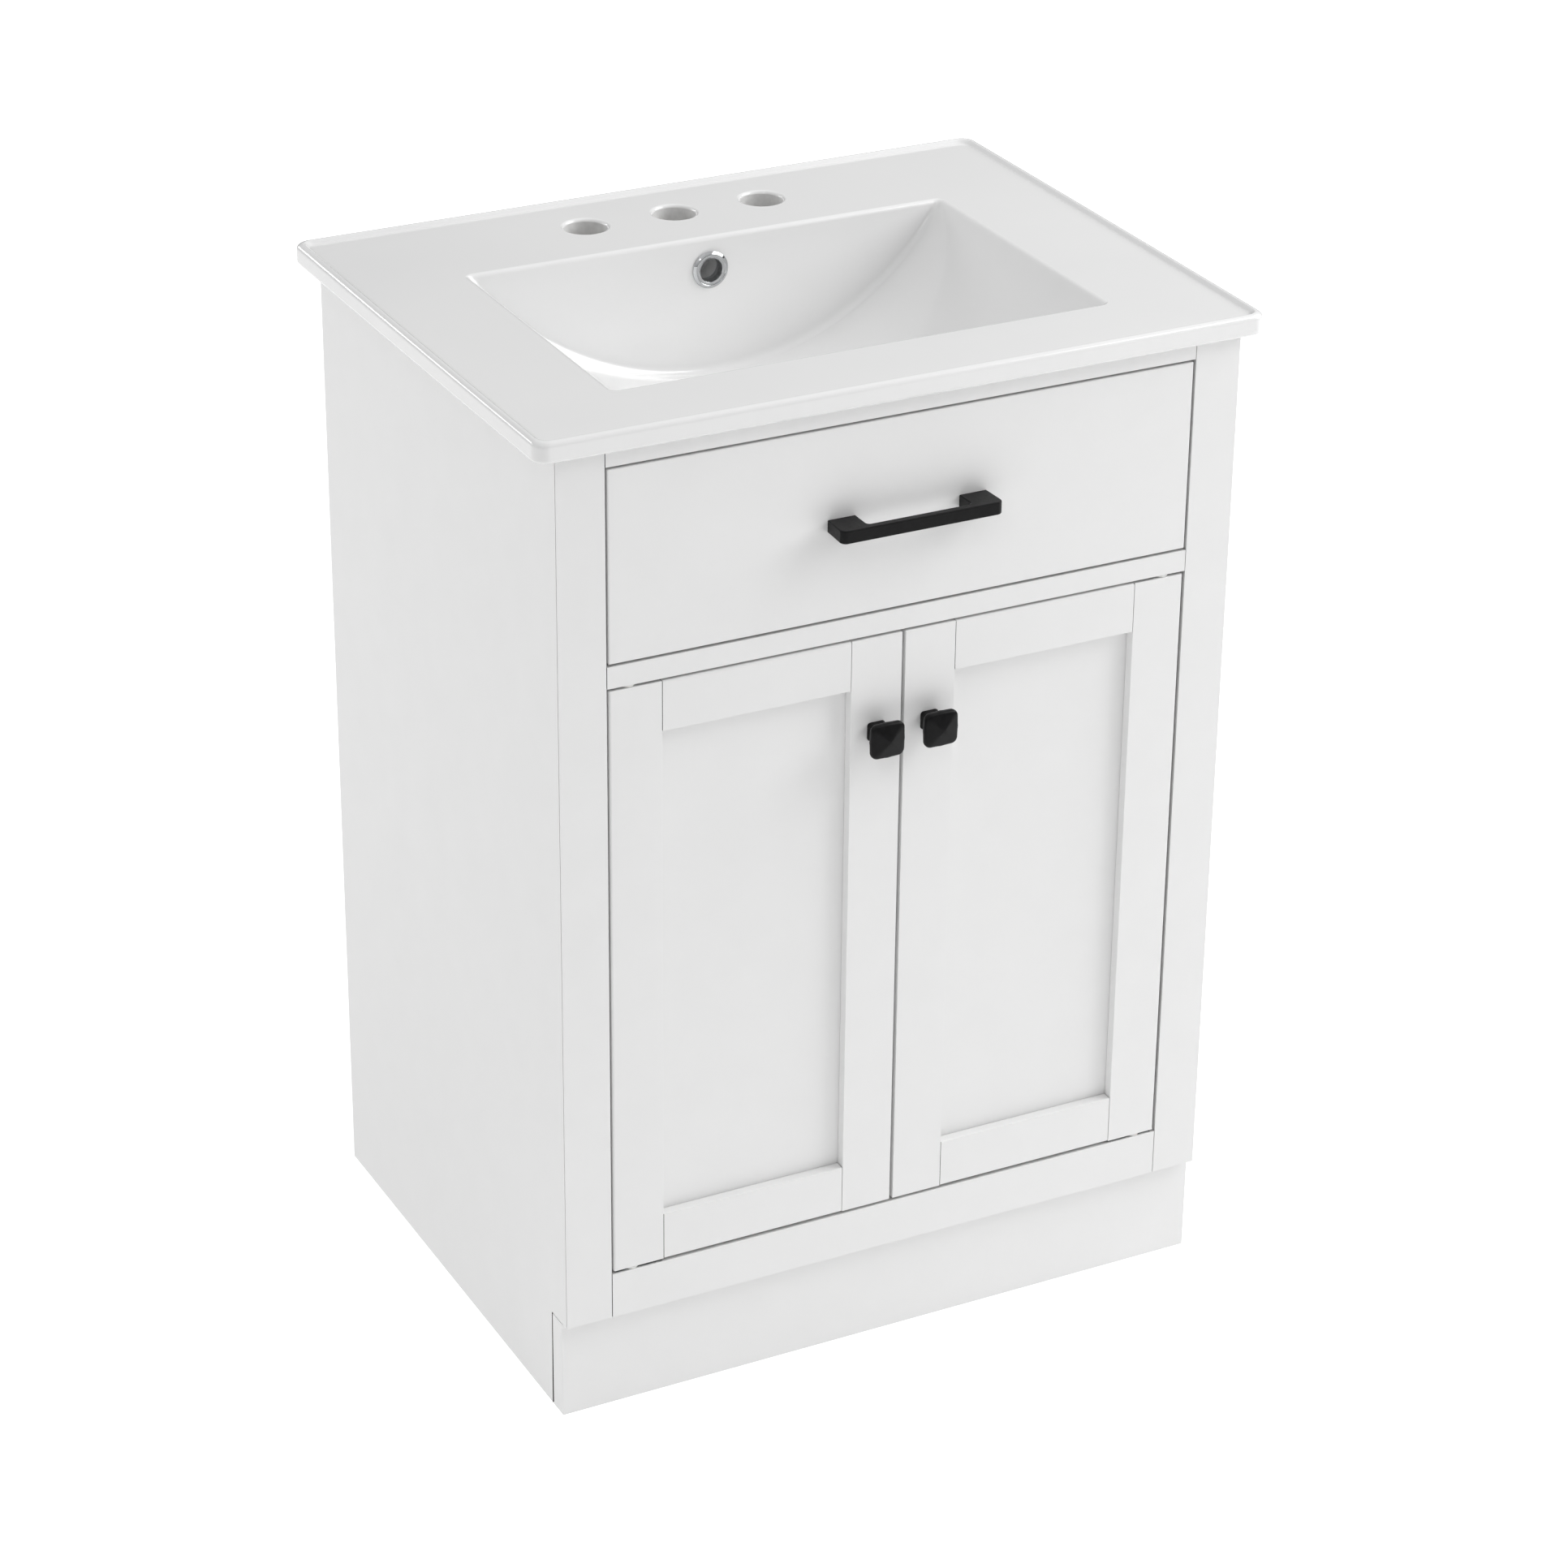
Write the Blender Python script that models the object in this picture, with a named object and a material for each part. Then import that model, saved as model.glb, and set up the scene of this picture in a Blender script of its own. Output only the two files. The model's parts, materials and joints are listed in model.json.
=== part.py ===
"""Bathroom vanity cabinet with a one-piece ceramic basin top, two inset doors and one drawer.

Metres, +Z up, the floor at z = 0, the front towards -Y. Every piece is drawn in the cabinet's own
frame, where y = 0 is the front face of the face frame; one empty shifts that frame so that the
origin is the middle of the whole vanity's footprint.
"""
import math

import bmesh
import bpy
from mathutils import Vector

# Ceramic top
TOP_WIDTH = 0.610
TOP_DEPTH = 0.470
TOP_CORNER_RADIUS = 0.010
DECK_Z = 0.836
RIM_RISE = 0.003
RIM_WIDTH = 0.013
TOP_EDGE_THICKNESS = 0.017
FRONT_OVERHANG = 0.0095
TAP_HOLE_RADIUS = 0.0175
TAP_HOLE_PITCH = 0.0785
TAP_HOLE_FROM_BACK = 0.061

# Basin: a round trough that runs from front to back, with upright front and back walls
BASIN_ARC_RADIUS = 0.252
BASIN_DEPTH = 0.111
BASIN_FRONT_Y = 0.070
BASIN_BACK_Y = 0.336
BASIN_WALL = 0.012
DRAIN_RADIUS = 0.0225
DRAIN_BOSS_RADIUS = 0.036
OVERFLOW_BELOW_DECK = 0.027
OVERFLOW_HOLE_RADIUS = 0.012

# Cabinet
CABINET_WIDTH = 0.5736
CABINET_DEPTH = 0.448
CARCASS_TOP = 0.8217
BOARD = 0.018
FACE_BOTTOM = 0.0864
STILE_WIDTH = 0.0392
BOTTOM_RAIL_TOP = 0.1261
MIDDLE_RAIL = (0.6326, 0.6503)
TOP_RAIL_BOTTOM = 0.8081
TOE_KICK_RECESS = 0.0092
BACK_RAIL_HEIGHT = 0.080
GAP = 0.0003

# Doors
DOOR_SIDE_GAP = 0.0020
DOOR_END_GAP = 0.0022
DOOR_CENTRE_GAP = 0.0030
DOOR_STILE = 0.043
DOOR_RAIL = 0.041
PANEL_RECESS = 0.009
PANEL_THICKNESS = 0.006
GROOVE_DEPTH = 0.0063
KNOB_BELOW_DOOR_TOP = 0.078

# Pivot hinges, set into the door's ends
PIVOT_INSET = 0.017
PIVOT_FROM_FRONT = 0.0065
PIVOT_PIN_RADIUS = 0.0025
PIVOT_PIN_LENGTH = 0.0125
PLATE_SIZE = (0.040, 0.009, 0.002)
BUSH_RADIUS = 0.004
BUSH_FLANGE_RADIUS = 0.006
BUSH_DEPTH = 0.012

# Drawer and its slides
DRAWER_GAP = 0.0020
DRAWER_BOARD = 0.012
DRAWER_BOX = (0.664, 0.708)
DRAWER_BACK_Y = 0.378
SUB_FRONT_TOP = 0.780
NOTCH_HALF_WIDTH = 0.085
NOTCH_FRONT_Y = 0.132
SLIDE_THICKNESS = 0.0127
SLIDE_HEIGHT = 0.035
SLIDE_SHEET = 0.0012
SLIDE_Y = (0.020, 0.370)
SLIDE_Z = 0.686

# Handles
PULL_LENGTH = 0.136
PULL_PROJECTION = 0.0262
PULL_HEIGHT = 0.0105
PULL_BAR = 0.0065
PULL_FOOT = 0.024
PULL_SCREW_PITCH = 0.096
KNOB_HALF = 0.0145
KNOB_NECK_HALF = 0.0072
KNOB_PROJECTION = 0.0255
SCREW_RADIUS = 0.002
SCREW_HEAD_RADIUS = 0.004
SCREW_HEAD = 0.0025
SCREW_REACH = 0.008

# Derived places
HALF = CABINET_WIDTH / 2
OPENING = HALF - STILE_WIDTH
TOP_BACK_Y = TOP_DEPTH - FRONT_OVERHANG
RIM_Z = DECK_Z + RIM_RISE
UNDERSIDE_Z = RIM_Z - TOP_EDGE_THICKNESS
BASIN_MID_Y = (BASIN_FRONT_Y + BASIN_BACK_Y) / 2
ARC_CENTRE_Z = DECK_Z - BASIN_DEPTH + BASIN_ARC_RADIUS
DOOR_EDGE = OPENING - DOOR_SIDE_GAP
DOOR_Z = (BOTTOM_RAIL_TOP + DOOR_END_GAP, MIDDLE_RAIL[0] - DOOR_END_GAP)
KNOB_Z = DOOR_Z[1] - KNOB_BELOW_DOOR_TOP
KNOB_X = DOOR_CENTRE_GAP / 2 + DOOR_STILE / 2
DRAWER_FRONT_Z = (MIDDLE_RAIL[1] + DRAWER_GAP, TOP_RAIL_BOTTOM - DRAWER_GAP)
PULL_Z = sum(DRAWER_FRONT_Z) / 2
DRAWER_HALF = OPENING - SLIDE_THICKNESS - GAP
FRAME_SHIFT_Y = -(TOP_BACK_Y - PULL_PROJECTION) / 2

# Colour, roughness and metallic value of each material
FINISHES = {
    "white_paint": ((0.84, 0.84, 0.83), 0.38, 0.0),
    "white_ceramic": ((0.88, 0.88, 0.87), 0.08, 0.0),
    "white_melamine": ((0.80, 0.80, 0.78), 0.45, 0.0),
    "birch_plywood": ((0.66, 0.50, 0.33), 0.55, 0.0),
    "black_metal": ((0.012, 0.012, 0.013), 0.42, 0.6),
    "chrome": ((0.80, 0.80, 0.82), 0.07, 1.0),
    "zinc_steel": ((0.62, 0.63, 0.64), 0.32, 1.0),
    "white_nylon": ((0.78, 0.78, 0.76), 0.50, 0.0),
}


def clear_scene():
    for item in list(bpy.data.objects):
        bpy.data.objects.remove(item, do_unlink=True)


def material(name):
    """Return the named Principled material, making it the first time."""
    found = bpy.data.materials.get(name)
    if found:
        return found
    colour, roughness, metallic = FINISHES[name]
    made = bpy.data.materials.new(name)
    made.use_nodes = True
    shader = made.node_tree.nodes["Principled BSDF"]
    shader.inputs["Base Color"].default_value = (*colour, 1.0)
    shader.inputs["Roughness"].default_value = roughness
    shader.inputs["Metallic"].default_value = metallic
    made.diffuse_color = (*colour, 1.0)
    return made


def empty(name, parent, place):
    """Add an empty at a place in the cabinet's frame; it carries one moving body."""
    made = bpy.data.objects.new(name, None)
    bpy.context.collection.objects.link(made)
    made["place"] = place
    made.parent = parent
    origin = Vector(parent["place"]) if parent else Vector((0, 0, 0))
    made.location = Vector(place) - origin
    return made


def add(name, bm, finish, body, origin):
    """Turn a bmesh drawn about origin (cabinet frame) into a named object on a body."""
    bmesh.ops.recalc_face_normals(bm, faces=bm.faces)
    mesh = bpy.data.meshes.new(name)
    bm.to_mesh(mesh)
    bm.free()
    made = bpy.data.objects.new(name, mesh)
    bpy.context.collection.objects.link(made)
    made.data.materials.append(material(finish))
    made.parent = body
    made.location = Vector(origin) - Vector(body["place"])
    return made


def loft(name, finish, body, origin, rings):
    """Skin a list of equal rings of points (about origin) and close both ends."""
    bm = bmesh.new()
    layers = [[bm.verts.new(point) for point in ring] for ring in rings]
    count = len(layers[0])
    for low, high in zip(layers, layers[1:]):
        for i in range(count):
            j = (i + 1) % count
            bm.faces.new((low[i], low[j], high[j], high[i]))
    bm.faces.new(list(reversed(layers[0])))
    bm.faces.new(layers[-1])
    return add(name, bm, finish, body, origin)


def prism(name, finish, body, outline, axis, span):
    """Extrude an outline along an axis; the outline lists the other two coordinates in order."""
    middle = sum(span) / 2
    centre_a = sum(p[0] for p in outline) / len(outline)
    centre_b = sum(p[1] for p in outline) / len(outline)
    place = {
        "X": lambda a, b, c: (c, a, b),
        "Y": lambda a, b, c: (a, c, b),
        "Z": lambda a, b, c: (a, b, c),
    }[axis]
    rings = []
    for level in span:
        rings.append([place(a - centre_a, b - centre_b, level - middle) for a, b in outline])
    return loft(name, finish, body, place(centre_a, centre_b, middle), rings)


def box(name, finish, body, x, y, z):
    """A plain board between three pairs of limits."""
    outline = [(x[0], y[0]), (x[1], y[0]), (x[1], y[1]), (x[0], y[1])]
    return prism(name, finish, body, outline, "Z", z)


def arc(centre, radius, start, end, steps):
    """Points of a circular arc, angles in degrees."""
    points = []
    for i in range(steps + 1):
        angle = math.radians(start + (end - start) * i / steps)
        points.append((centre[0] + radius * math.cos(angle), centre[1] + radius * math.sin(angle)))
    return points


def rounded_rectangle(x, y, radius, steps):
    """Outline between two pairs of limits with round corners, anticlockwise."""
    corners = (
        (x[1] - radius, y[0] + radius, -90),
        (x[1] - radius, y[1] - radius, 0),
        (x[0] + radius, y[1] - radius, 90),
        (x[0] + radius, y[0] + radius, 180),
    )
    points = []
    for corner_x, corner_y, start in corners:
        points += arc((corner_x, corner_y), radius, start, start + 90, steps)
    return points


def turned(name, finish, body, centre, axis, profile, sides=24):
    """A turned solid: profile lists (distance along the axis, radius) from one end to the other."""
    rings = []
    for level, radius in profile:
        ring = []
        for a, b in arc((0, 0), radius, 0, 360, sides)[:-1]:
            ring.append({"X": (level, a, b), "Y": (b, level, a), "Z": (a, b, level)}[axis])
        rings.append(ring)
    made = loft(name, finish, body, centre, rings)
    made.data.shade_smooth()
    made.data.set_sharp_from_angle(angle=math.radians(35))
    return made


def hide(piece):
    """Keep a cutter or a joining shape out of the model itself."""
    piece.hide_render = True
    piece.display_type = "WIRE"
    return piece


def combine(piece, other, operation):
    """Add an exact Boolean that cuts other from the piece, or joins it on."""
    step = piece.modifiers.new(other.name, "BOOLEAN")
    step.operation = operation
    step.solver = "EXACT"
    step.object = hide(other)


def cut(piece, other):
    combine(piece, other, "DIFFERENCE")


def join(piece, other):
    combine(piece, other, "UNION")


# ---------------------------------------------------------------- ceramic top

def trough(name, body, radius, y, top_z):
    """A solid with a round underside about the basin's arc centre, cut level at top_z."""
    drop = ARC_CENTRE_Z - top_z
    half_angle = math.degrees(math.acos(drop / radius))
    outline = arc((0, ARC_CENTRE_Z), radius, -90 - half_angle, -90 + half_angle, 32)
    return prism(name, "white_ceramic", body, outline, "Y", y)


def ceramic_underside(top, body):
    """Basin shell, drain boss and the cast overflow duct, joined under the slab."""
    shell_y = (BASIN_FRONT_Y - BASIN_WALL, BASIN_BACK_Y + BASIN_WALL)
    join(top, trough("basin_shell", body, BASIN_ARC_RADIUS + BASIN_WALL, shell_y, DECK_Z - 0.004))
    shell_low = ARC_CENTRE_Z - BASIN_ARC_RADIUS - BASIN_WALL
    boss = turned("drain_boss", "white_ceramic", body, (0, BASIN_MID_Y, 0), "Z",
                  [(shell_low - 0.013, DRAIN_BOSS_RADIUS), (shell_low + 0.008, DRAIN_BOSS_RADIUS)], 32)
    join(top, boss)
    duct_back = BASIN_BACK_Y + 0.036
    duct = [
        (BASIN_MID_Y, shell_low - 0.0125), (duct_back, shell_low - 0.0125),
        (duct_back, DECK_Z - 0.0045), (BASIN_BACK_Y + 0.006, DECK_Z - 0.0045),
        (BASIN_BACK_Y + 0.006, shell_low + 0.006), (BASIN_MID_Y, shell_low + 0.006),
    ]
    join(top, prism("overflow_duct", "white_ceramic", body, duct, "X", (-0.028, 0.028)))


def ceramic_hollows(top, body):
    """Bowl, drain hole, tap holes, and the overflow passage down to the drain."""
    bowl_y = (BASIN_FRONT_Y, BASIN_BACK_Y)
    cut(top, trough("bowl_cutter", body, BASIN_ARC_RADIUS, bowl_y, RIM_Z + 0.002))
    cut(top, turned("drain_cutter", "white_ceramic", body, (0, BASIN_MID_Y, 0), "Z",
                    [(DECK_Z - 0.16, DRAIN_RADIUS), (DECK_Z - 0.09, DRAIN_RADIUS)], 32))
    for step in (-1, 0, 1):
        centre = (step * TAP_HOLE_PITCH, TOP_BACK_Y - TAP_HOLE_FROM_BACK, 0)
        cut(top, turned(f"tap_cutter_{step + 2}", "white_ceramic", body, centre, "Z",
                        [(UNDERSIDE_Z - 0.01, TAP_HOLE_RADIUS), (RIM_Z + 0.01, TAP_HOLE_RADIUS)], 32))
    passage_low = ARC_CENTRE_Z - BASIN_ARC_RADIUS - BASIN_WALL - 0.0095
    hole_z = DECK_Z - OVERFLOW_BELOW_DECK
    passage = [
        (BASIN_MID_Y, passage_low), (BASIN_BACK_Y + 0.026, passage_low),
        (BASIN_BACK_Y + 0.026, hole_z + 0.013), (BASIN_BACK_Y + 0.0125, hole_z + 0.013),
        (BASIN_BACK_Y + 0.0125, passage_low + 0.0085), (BASIN_MID_Y, passage_low + 0.0085),
    ]
    cut(top, prism("passage_cutter", "white_ceramic", body, passage, "X", (-0.018, 0.018)))
    cut(top, turned("overflow_cutter", "white_ceramic", body, (0, BASIN_BACK_Y, hole_z), "Y",
                    [(-0.01, OVERFLOW_HOLE_RADIUS), (0.02, OVERFLOW_HOLE_RADIUS)], 32))


def build_ceramic_top(body):
    x = (-TOP_WIDTH / 2, TOP_WIDTH / 2)
    y = (-FRONT_OVERHANG, TOP_BACK_Y)
    outline = rounded_rectangle(x, y, TOP_CORNER_RADIUS, 6)
    top = prism("ceramic_top", "white_ceramic", body, outline, "Z", (UNDERSIDE_Z, RIM_Z))
    ceramic_underside(top, body)
    inner = rounded_rectangle((x[0] + RIM_WIDTH, x[1] - RIM_WIDTH), (y[0] + RIM_WIDTH, y[1] - RIM_WIDTH),
                              TOP_CORNER_RADIUS, 6)
    cut(top, prism("deck_cutter", "white_ceramic", body, inner, "Z", (DECK_Z, RIM_Z + 0.01)))
    ceramic_hollows(top, body)


def build_overflow_ring(body):
    centre = (0, BASIN_BACK_Y, DECK_Z - OVERFLOW_BELOW_DECK)
    profile = [(-0.0033, 0.0135), (-0.0024, 0.0155), (-GAP, 0.0155), (-GAP, 0.0116), (0.009, 0.0116)]
    ring = turned("overflow_ring", "chrome", body, centre, "Y", profile, 32)
    cut(ring, turned("ring_cutter", "chrome", body, centre, "Y", [(-0.01, 0.00975), (0.02, 0.00975)], 32))


# ---------------------------------------------------------------- cabinet

def side_panel(name, body, side):
    """A side panel mitred to the stile at the front corner and notched for the toe kick."""
    outer = side * HALF
    inner = side * (HALF - BOARD)
    mitre = GAP * math.sqrt(2)
    notch_y = TOE_KICK_RECESS + BOARD + 0.0010
    rings = []
    for x, front in ((outer, mitre), (inner, BOARD + mitre)):
        outline = [
            (front, FACE_BOTTOM), (front, CARCASS_TOP), (CABINET_DEPTH, CARCASS_TOP),
            (CABINET_DEPTH, 0.0), (notch_y, 0.0), (notch_y, FACE_BOTTOM),
        ]
        rings.append([(x - outer, y, z) for y, z in outline])
    return loft(name, "white_paint", body, (outer, 0, 0), rings)


def stile(name, body, side):
    """A face-frame stile whose outer edge is mitred back to the side panel."""
    inner = side * OPENING
    outline = [(side * HALF, 0), (side * (HALF - BOARD), BOARD), (inner, BOARD), (inner, 0)]
    return prism(name, "white_paint", body, outline, "Z", (FACE_BOTTOM, CARCASS_TOP))


def build_face_frame(body):
    reach = (-OPENING + GAP, OPENING - GAP)
    thick = (0, BOARD)
    stile("left_stile", body, -1)
    stile("right_stile", body, 1)
    box("top_rail", "white_paint", body, reach, thick, (TOP_RAIL_BOTTOM, CARCASS_TOP))
    middle = box("middle_rail", "white_paint", body, reach, thick, MIDDLE_RAIL)
    bottom = box("bottom_rail", "white_paint", body, reach, thick, (FACE_BOTTOM, BOTTOM_RAIL_TOP))
    return middle, bottom


def build_carcass(body):
    inside = HALF - BOARD - GAP
    side_panel("left_side_panel", body, -1)
    side_panel("right_side_panel", body, 1)
    floor_y = (BOARD + GAP, CABINET_DEPTH - 0.002)
    box("bottom_panel", "white_melamine", body, (-inside, inside), floor_y,
        (BOTTOM_RAIL_TOP - 0.015, BOTTOM_RAIL_TOP))
    rail_y = (CABINET_DEPTH - BOARD, CABINET_DEPTH)
    box("upper_back_rail", "white_melamine", body, (-inside, inside), rail_y,
        (CARCASS_TOP - BACK_RAIL_HEIGHT, CARCASS_TOP))
    lower = BOTTOM_RAIL_TOP + GAP
    box("lower_back_rail", "white_melamine", body, (-inside, inside), rail_y,
        (lower, lower + BACK_RAIL_HEIGHT))
    toe_y = (TOE_KICK_RECESS, TOE_KICK_RECESS + BOARD)
    box("toe_kick", "white_paint", body, (-HALF, HALF), toe_y, (0, FACE_BOTTOM - 0.0009))
    cleat_y = (BOARD + GAP, CABINET_DEPTH - BOARD - GAP)
    for name, side in (("left_runner_cleat", -1), ("right_runner_cleat", 1)):
        x = sorted((side * inside, side * (OPENING + GAP)))
        box(name, "white_melamine", body, x, cleat_y, (MIDDLE_RAIL[1] + 0.0004, SLIDE_Z + 0.035))


# ---------------------------------------------------------------- doors

def door_stile(name, body, inner, outer):
    """A full-height door stile with a groove for the panel along its inner edge."""
    turn = 1 if inner > outer else -1
    groove = inner - turn * GROOVE_DEPTH
    groove_y = (PANEL_RECESS - GAP, PANEL_RECESS + PANEL_THICKNESS + GAP)
    outline = [
        (outer, 0), (inner, 0), (inner, groove_y[0]), (groove, groove_y[0]),
        (groove, groove_y[1]), (inner, groove_y[1]), (inner, BOARD), (outer, BOARD),
    ]
    return prism(name, "white_paint", body, outline, "Z", DOOR_Z)


def door_rail(name, body, x, inner, outer):
    """A door rail between the stiles, grooved along the edge that faces the panel."""
    turn = 1 if inner > outer else -1
    groove = inner - turn * GROOVE_DEPTH
    groove_y = (PANEL_RECESS - GAP, PANEL_RECESS + PANEL_THICKNESS + GAP)
    outline = [
        (0, outer), (0, inner), (groove_y[0], inner), (groove_y[0], groove),
        (groove_y[1], groove), (groove_y[1], inner), (BOARD, inner), (BOARD, outer),
    ]
    return prism(name, "white_paint", body, outline, "X", x)


def bush(name, body, x, door_end, outward):
    """A flanged nylon bush in the end of a door; outward is -1 at the bottom and 1 at the top."""
    profile = [
        (-outward * BUSH_DEPTH, BUSH_RADIUS), (outward * GAP, BUSH_RADIUS),
        (outward * GAP, BUSH_FLANGE_RADIUS), (outward * 0.0022, BUSH_FLANGE_RADIUS),
    ]
    centre = (x, PIVOT_FROM_FRONT, door_end)
    made = turned(name, "white_nylon", body, centre, "Z", profile)
    bore = turned(name + "_cutter", "white_nylon", body, centre, "Z",
                  [(-0.02, PIVOT_PIN_RADIUS + GAP), (0.02, PIVOT_PIN_RADIUS + GAP)])
    cut(made, bore)


def build_knob(name, body, x):
    """A square pillow-shaped knob with round corners, on a short square neck."""
    profile = [
        (-GAP, KNOB_NECK_HALF + 0.0004, 0.0025), (-0.0010, KNOB_NECK_HALF + 0.0006, 0.0025),
        (-0.0060, KNOB_NECK_HALF, 0.0022), (-0.0130, KNOB_NECK_HALF, 0.0022),
        (-0.0150, KNOB_NECK_HALF + 0.0030, 0.0030), (-0.0165, KNOB_HALF - 0.0012, 0.0040),
        (-0.0180, KNOB_HALF, 0.0045), (-0.0205, KNOB_HALF, 0.0045), (-0.0222, KNOB_HALF - 0.0012, 0.0042),
        (-KNOB_PROJECTION, KNOB_HALF - 0.0080, 0.0020),
    ]
    rings = []
    for y, half, radius in profile:
        outline = rounded_rectangle((-half, half), (-half, half), radius, 4)
        rings.append([(a, y, b) for a, b in outline])
    knob = loft(name, "black_metal", body, (x, 0, KNOB_Z), rings)
    socket = [(-SCREW_REACH - 0.0006, SCREW_RADIUS + GAP), (0.005, SCREW_RADIUS + GAP)]
    cut(knob, turned(name + "_cutter", "black_metal", body, (x, 0, KNOB_Z), "Y", socket, 16))


def screw(name, body, centre, board_back):
    """A machine screw whose head lies behind a board and whose tip reaches into a handle."""
    profile = [
        (-SCREW_REACH, SCREW_RADIUS), (board_back + GAP, SCREW_RADIUS),
        (board_back + GAP, SCREW_HEAD_RADIUS), (board_back + SCREW_HEAD, SCREW_HEAD_RADIUS - 0.0008),
    ]
    turned(name, "zinc_steel", body, centre, "Y", profile, 16)


def screw_hole(piece, name, body, centre, depth):
    """Drill a clearance hole for a handle's screw through a board."""
    cut(piece, turned(name, "zinc_steel", body, centre, "Y",
                      [(-0.003, SCREW_RADIUS + GAP), (depth + 0.003, SCREW_RADIUS + GAP)], 16))


def build_door(hand, side, body):
    """One inset door: frame of four, recessed panel, knob with its screw, bushes and strike."""
    outer = side * DOOR_EDGE
    lock = side * DOOR_CENTRE_GAP / 2
    hinge_inner = outer - side * DOOR_STILE
    lock_inner = lock + side * DOOR_STILE
    hinge_stile = door_stile(f"{hand}_door_hinge_stile", body, hinge_inner, outer)
    lock_stile = door_stile(f"{hand}_door_lock_stile", body, lock_inner, lock)
    rail_x = sorted((hinge_inner - side * GAP, lock_inner + side * GAP))
    inner_z = (DOOR_Z[0] + DOOR_RAIL, DOOR_Z[1] - DOOR_RAIL)
    door_rail(f"{hand}_door_bottom_rail", body, rail_x, inner_z[0], DOOR_Z[0])
    door_rail(f"{hand}_door_top_rail", body, rail_x, inner_z[1], DOOR_Z[1])
    tongue = GROOVE_DEPTH - GAP
    panel_x = sorted((hinge_inner + side * tongue, lock_inner - side * tongue))
    box(f"{hand}_door_panel", "white_paint", body, panel_x,
        (PANEL_RECESS, PANEL_RECESS + PANEL_THICKNESS), (inner_z[0] - tongue, inner_z[1] + tongue))
    knob_x = side * KNOB_X
    build_knob(f"{hand}_door_knob", body, knob_x)
    screw_hole(lock_stile, f"{hand}_knob_hole", body, (knob_x, 0, KNOB_Z), BOARD)
    screw(f"{hand}_door_knob_screw", body, (knob_x, 0, KNOB_Z), BOARD)
    pivot_x = outer - side * PIVOT_INSET
    for end, z, outward in (("lower", DOOR_Z[0], -1), ("upper", DOOR_Z[1], 1)):
        bush(f"{hand}_door_{end}_bush", body, pivot_x, z, outward)
        hole = [(-BUSH_DEPTH - 0.0005, BUSH_RADIUS + GAP), (BUSH_DEPTH + 0.0005, BUSH_RADIUS + GAP)]
        cut(hinge_stile, turned(f"{hand}_{end}_bush_hole", "white_nylon", body,
                                (pivot_x, PIVOT_FROM_FRONT, z), "Z", hole))
    strike_x = sorted((lock + side * 0.004, lock + side * 0.018))
    box(f"{hand}_door_strike", "zinc_steel", body, strike_x, (BOARD + GAP, BOARD + 0.0013),
        (DOOR_Z[1] - 0.020, DOOR_Z[1] - 0.003))


def build_pivots(cabinet, middle_rail, bottom_rail):
    """Four steel plates let into the rails, each with the pin that a door turns on."""
    length, width, thickness = PLATE_SIZE
    y = (PIVOT_FROM_FRONT - width / 2, PIVOT_FROM_FRONT + width / 2)
    for hand, side in (("left", -1), ("right", 1)):
        pivot_x = side * (DOOR_EDGE - PIVOT_INSET)
        x = sorted((side * (DOOR_EDGE - 0.002), side * (DOOR_EDGE - 0.002 - length)))
        for end, rail, face, into in (("lower", bottom_rail, BOTTOM_RAIL_TOP, 1),
                                      ("upper", middle_rail, MIDDLE_RAIL[0], -1)):
            surface = face - into * GAP
            z = sorted((surface, surface - into * thickness))
            plate = box(f"{hand}_{end}_pivot_plate", "zinc_steel", cabinet, x, y, z)
            pin = [(-into * 0.001, PIVOT_PIN_RADIUS), (into * (PIVOT_PIN_LENGTH - 0.0008), PIVOT_PIN_RADIUS),
                   (into * PIVOT_PIN_LENGTH, PIVOT_PIN_RADIUS - 0.0008)]
            join(plate, turned(f"{hand}_{end}_pin", "zinc_steel", cabinet,
                               (pivot_x, PIVOT_FROM_FRONT, surface), "Z", pin))
            pocket_z = sorted((face + into * 0.01, surface - into * (thickness + GAP)))
            cut(rail, box(f"{hand}_{end}_pocket", "zinc_steel", cabinet, (x[0] - GAP, x[1] + GAP),
                          (y[0] - GAP, y[1] + GAP), pocket_z))


def build_catch(cabinet):
    """A magnetic catch under the middle rail that stops both doors flush."""
    box("magnetic_catch", "white_nylon", cabinet, (-0.024, 0.024),
        (BOARD + 0.0016, BOARD + 0.0156), (DOOR_Z[1] - 0.021, MIDDLE_RAIL[1]))


# ---------------------------------------------------------------- drawer

def channel(name, body, side, wall_x, back, flange, height):
    """A sheet-steel channel; back and flange are distances from the cleat towards the drawer."""
    turn = 1 if flange > back else -1
    half = height / 2
    outline = [
        (back, -half), (flange, -half), (flange, -half + SLIDE_SHEET),
        (back + turn * SLIDE_SHEET, -half + SLIDE_SHEET), (back + turn * SLIDE_SHEET, half - SLIDE_SHEET),
        (flange, half - SLIDE_SHEET), (flange, half), (back, half),
    ]
    outline = [(wall_x - side * a, SLIDE_Z + b) for a, b in outline]
    prism(name, "zinc_steel", body, outline, "Y", SLIDE_Y)


def build_slides(cabinet, middles, drawer):
    """A three-part ball-bearing slide on each side: outer, middle and inner channels."""
    for hand, side in (("left", -1), ("right", 1)):
        wall_x = side * OPENING
        channel(f"{hand}_slide_outer", cabinet, side, wall_x, 0, 0.0100, SLIDE_HEIGHT)
        channel(f"{hand}_slide_middle", middles, side, wall_x, 0.0020, 0.0096, SLIDE_HEIGHT - 0.0060)
        channel(f"{hand}_slide_inner", drawer, side, wall_x, SLIDE_THICKNESS, 0.0045, SLIDE_HEIGHT - 0.0130)


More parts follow.
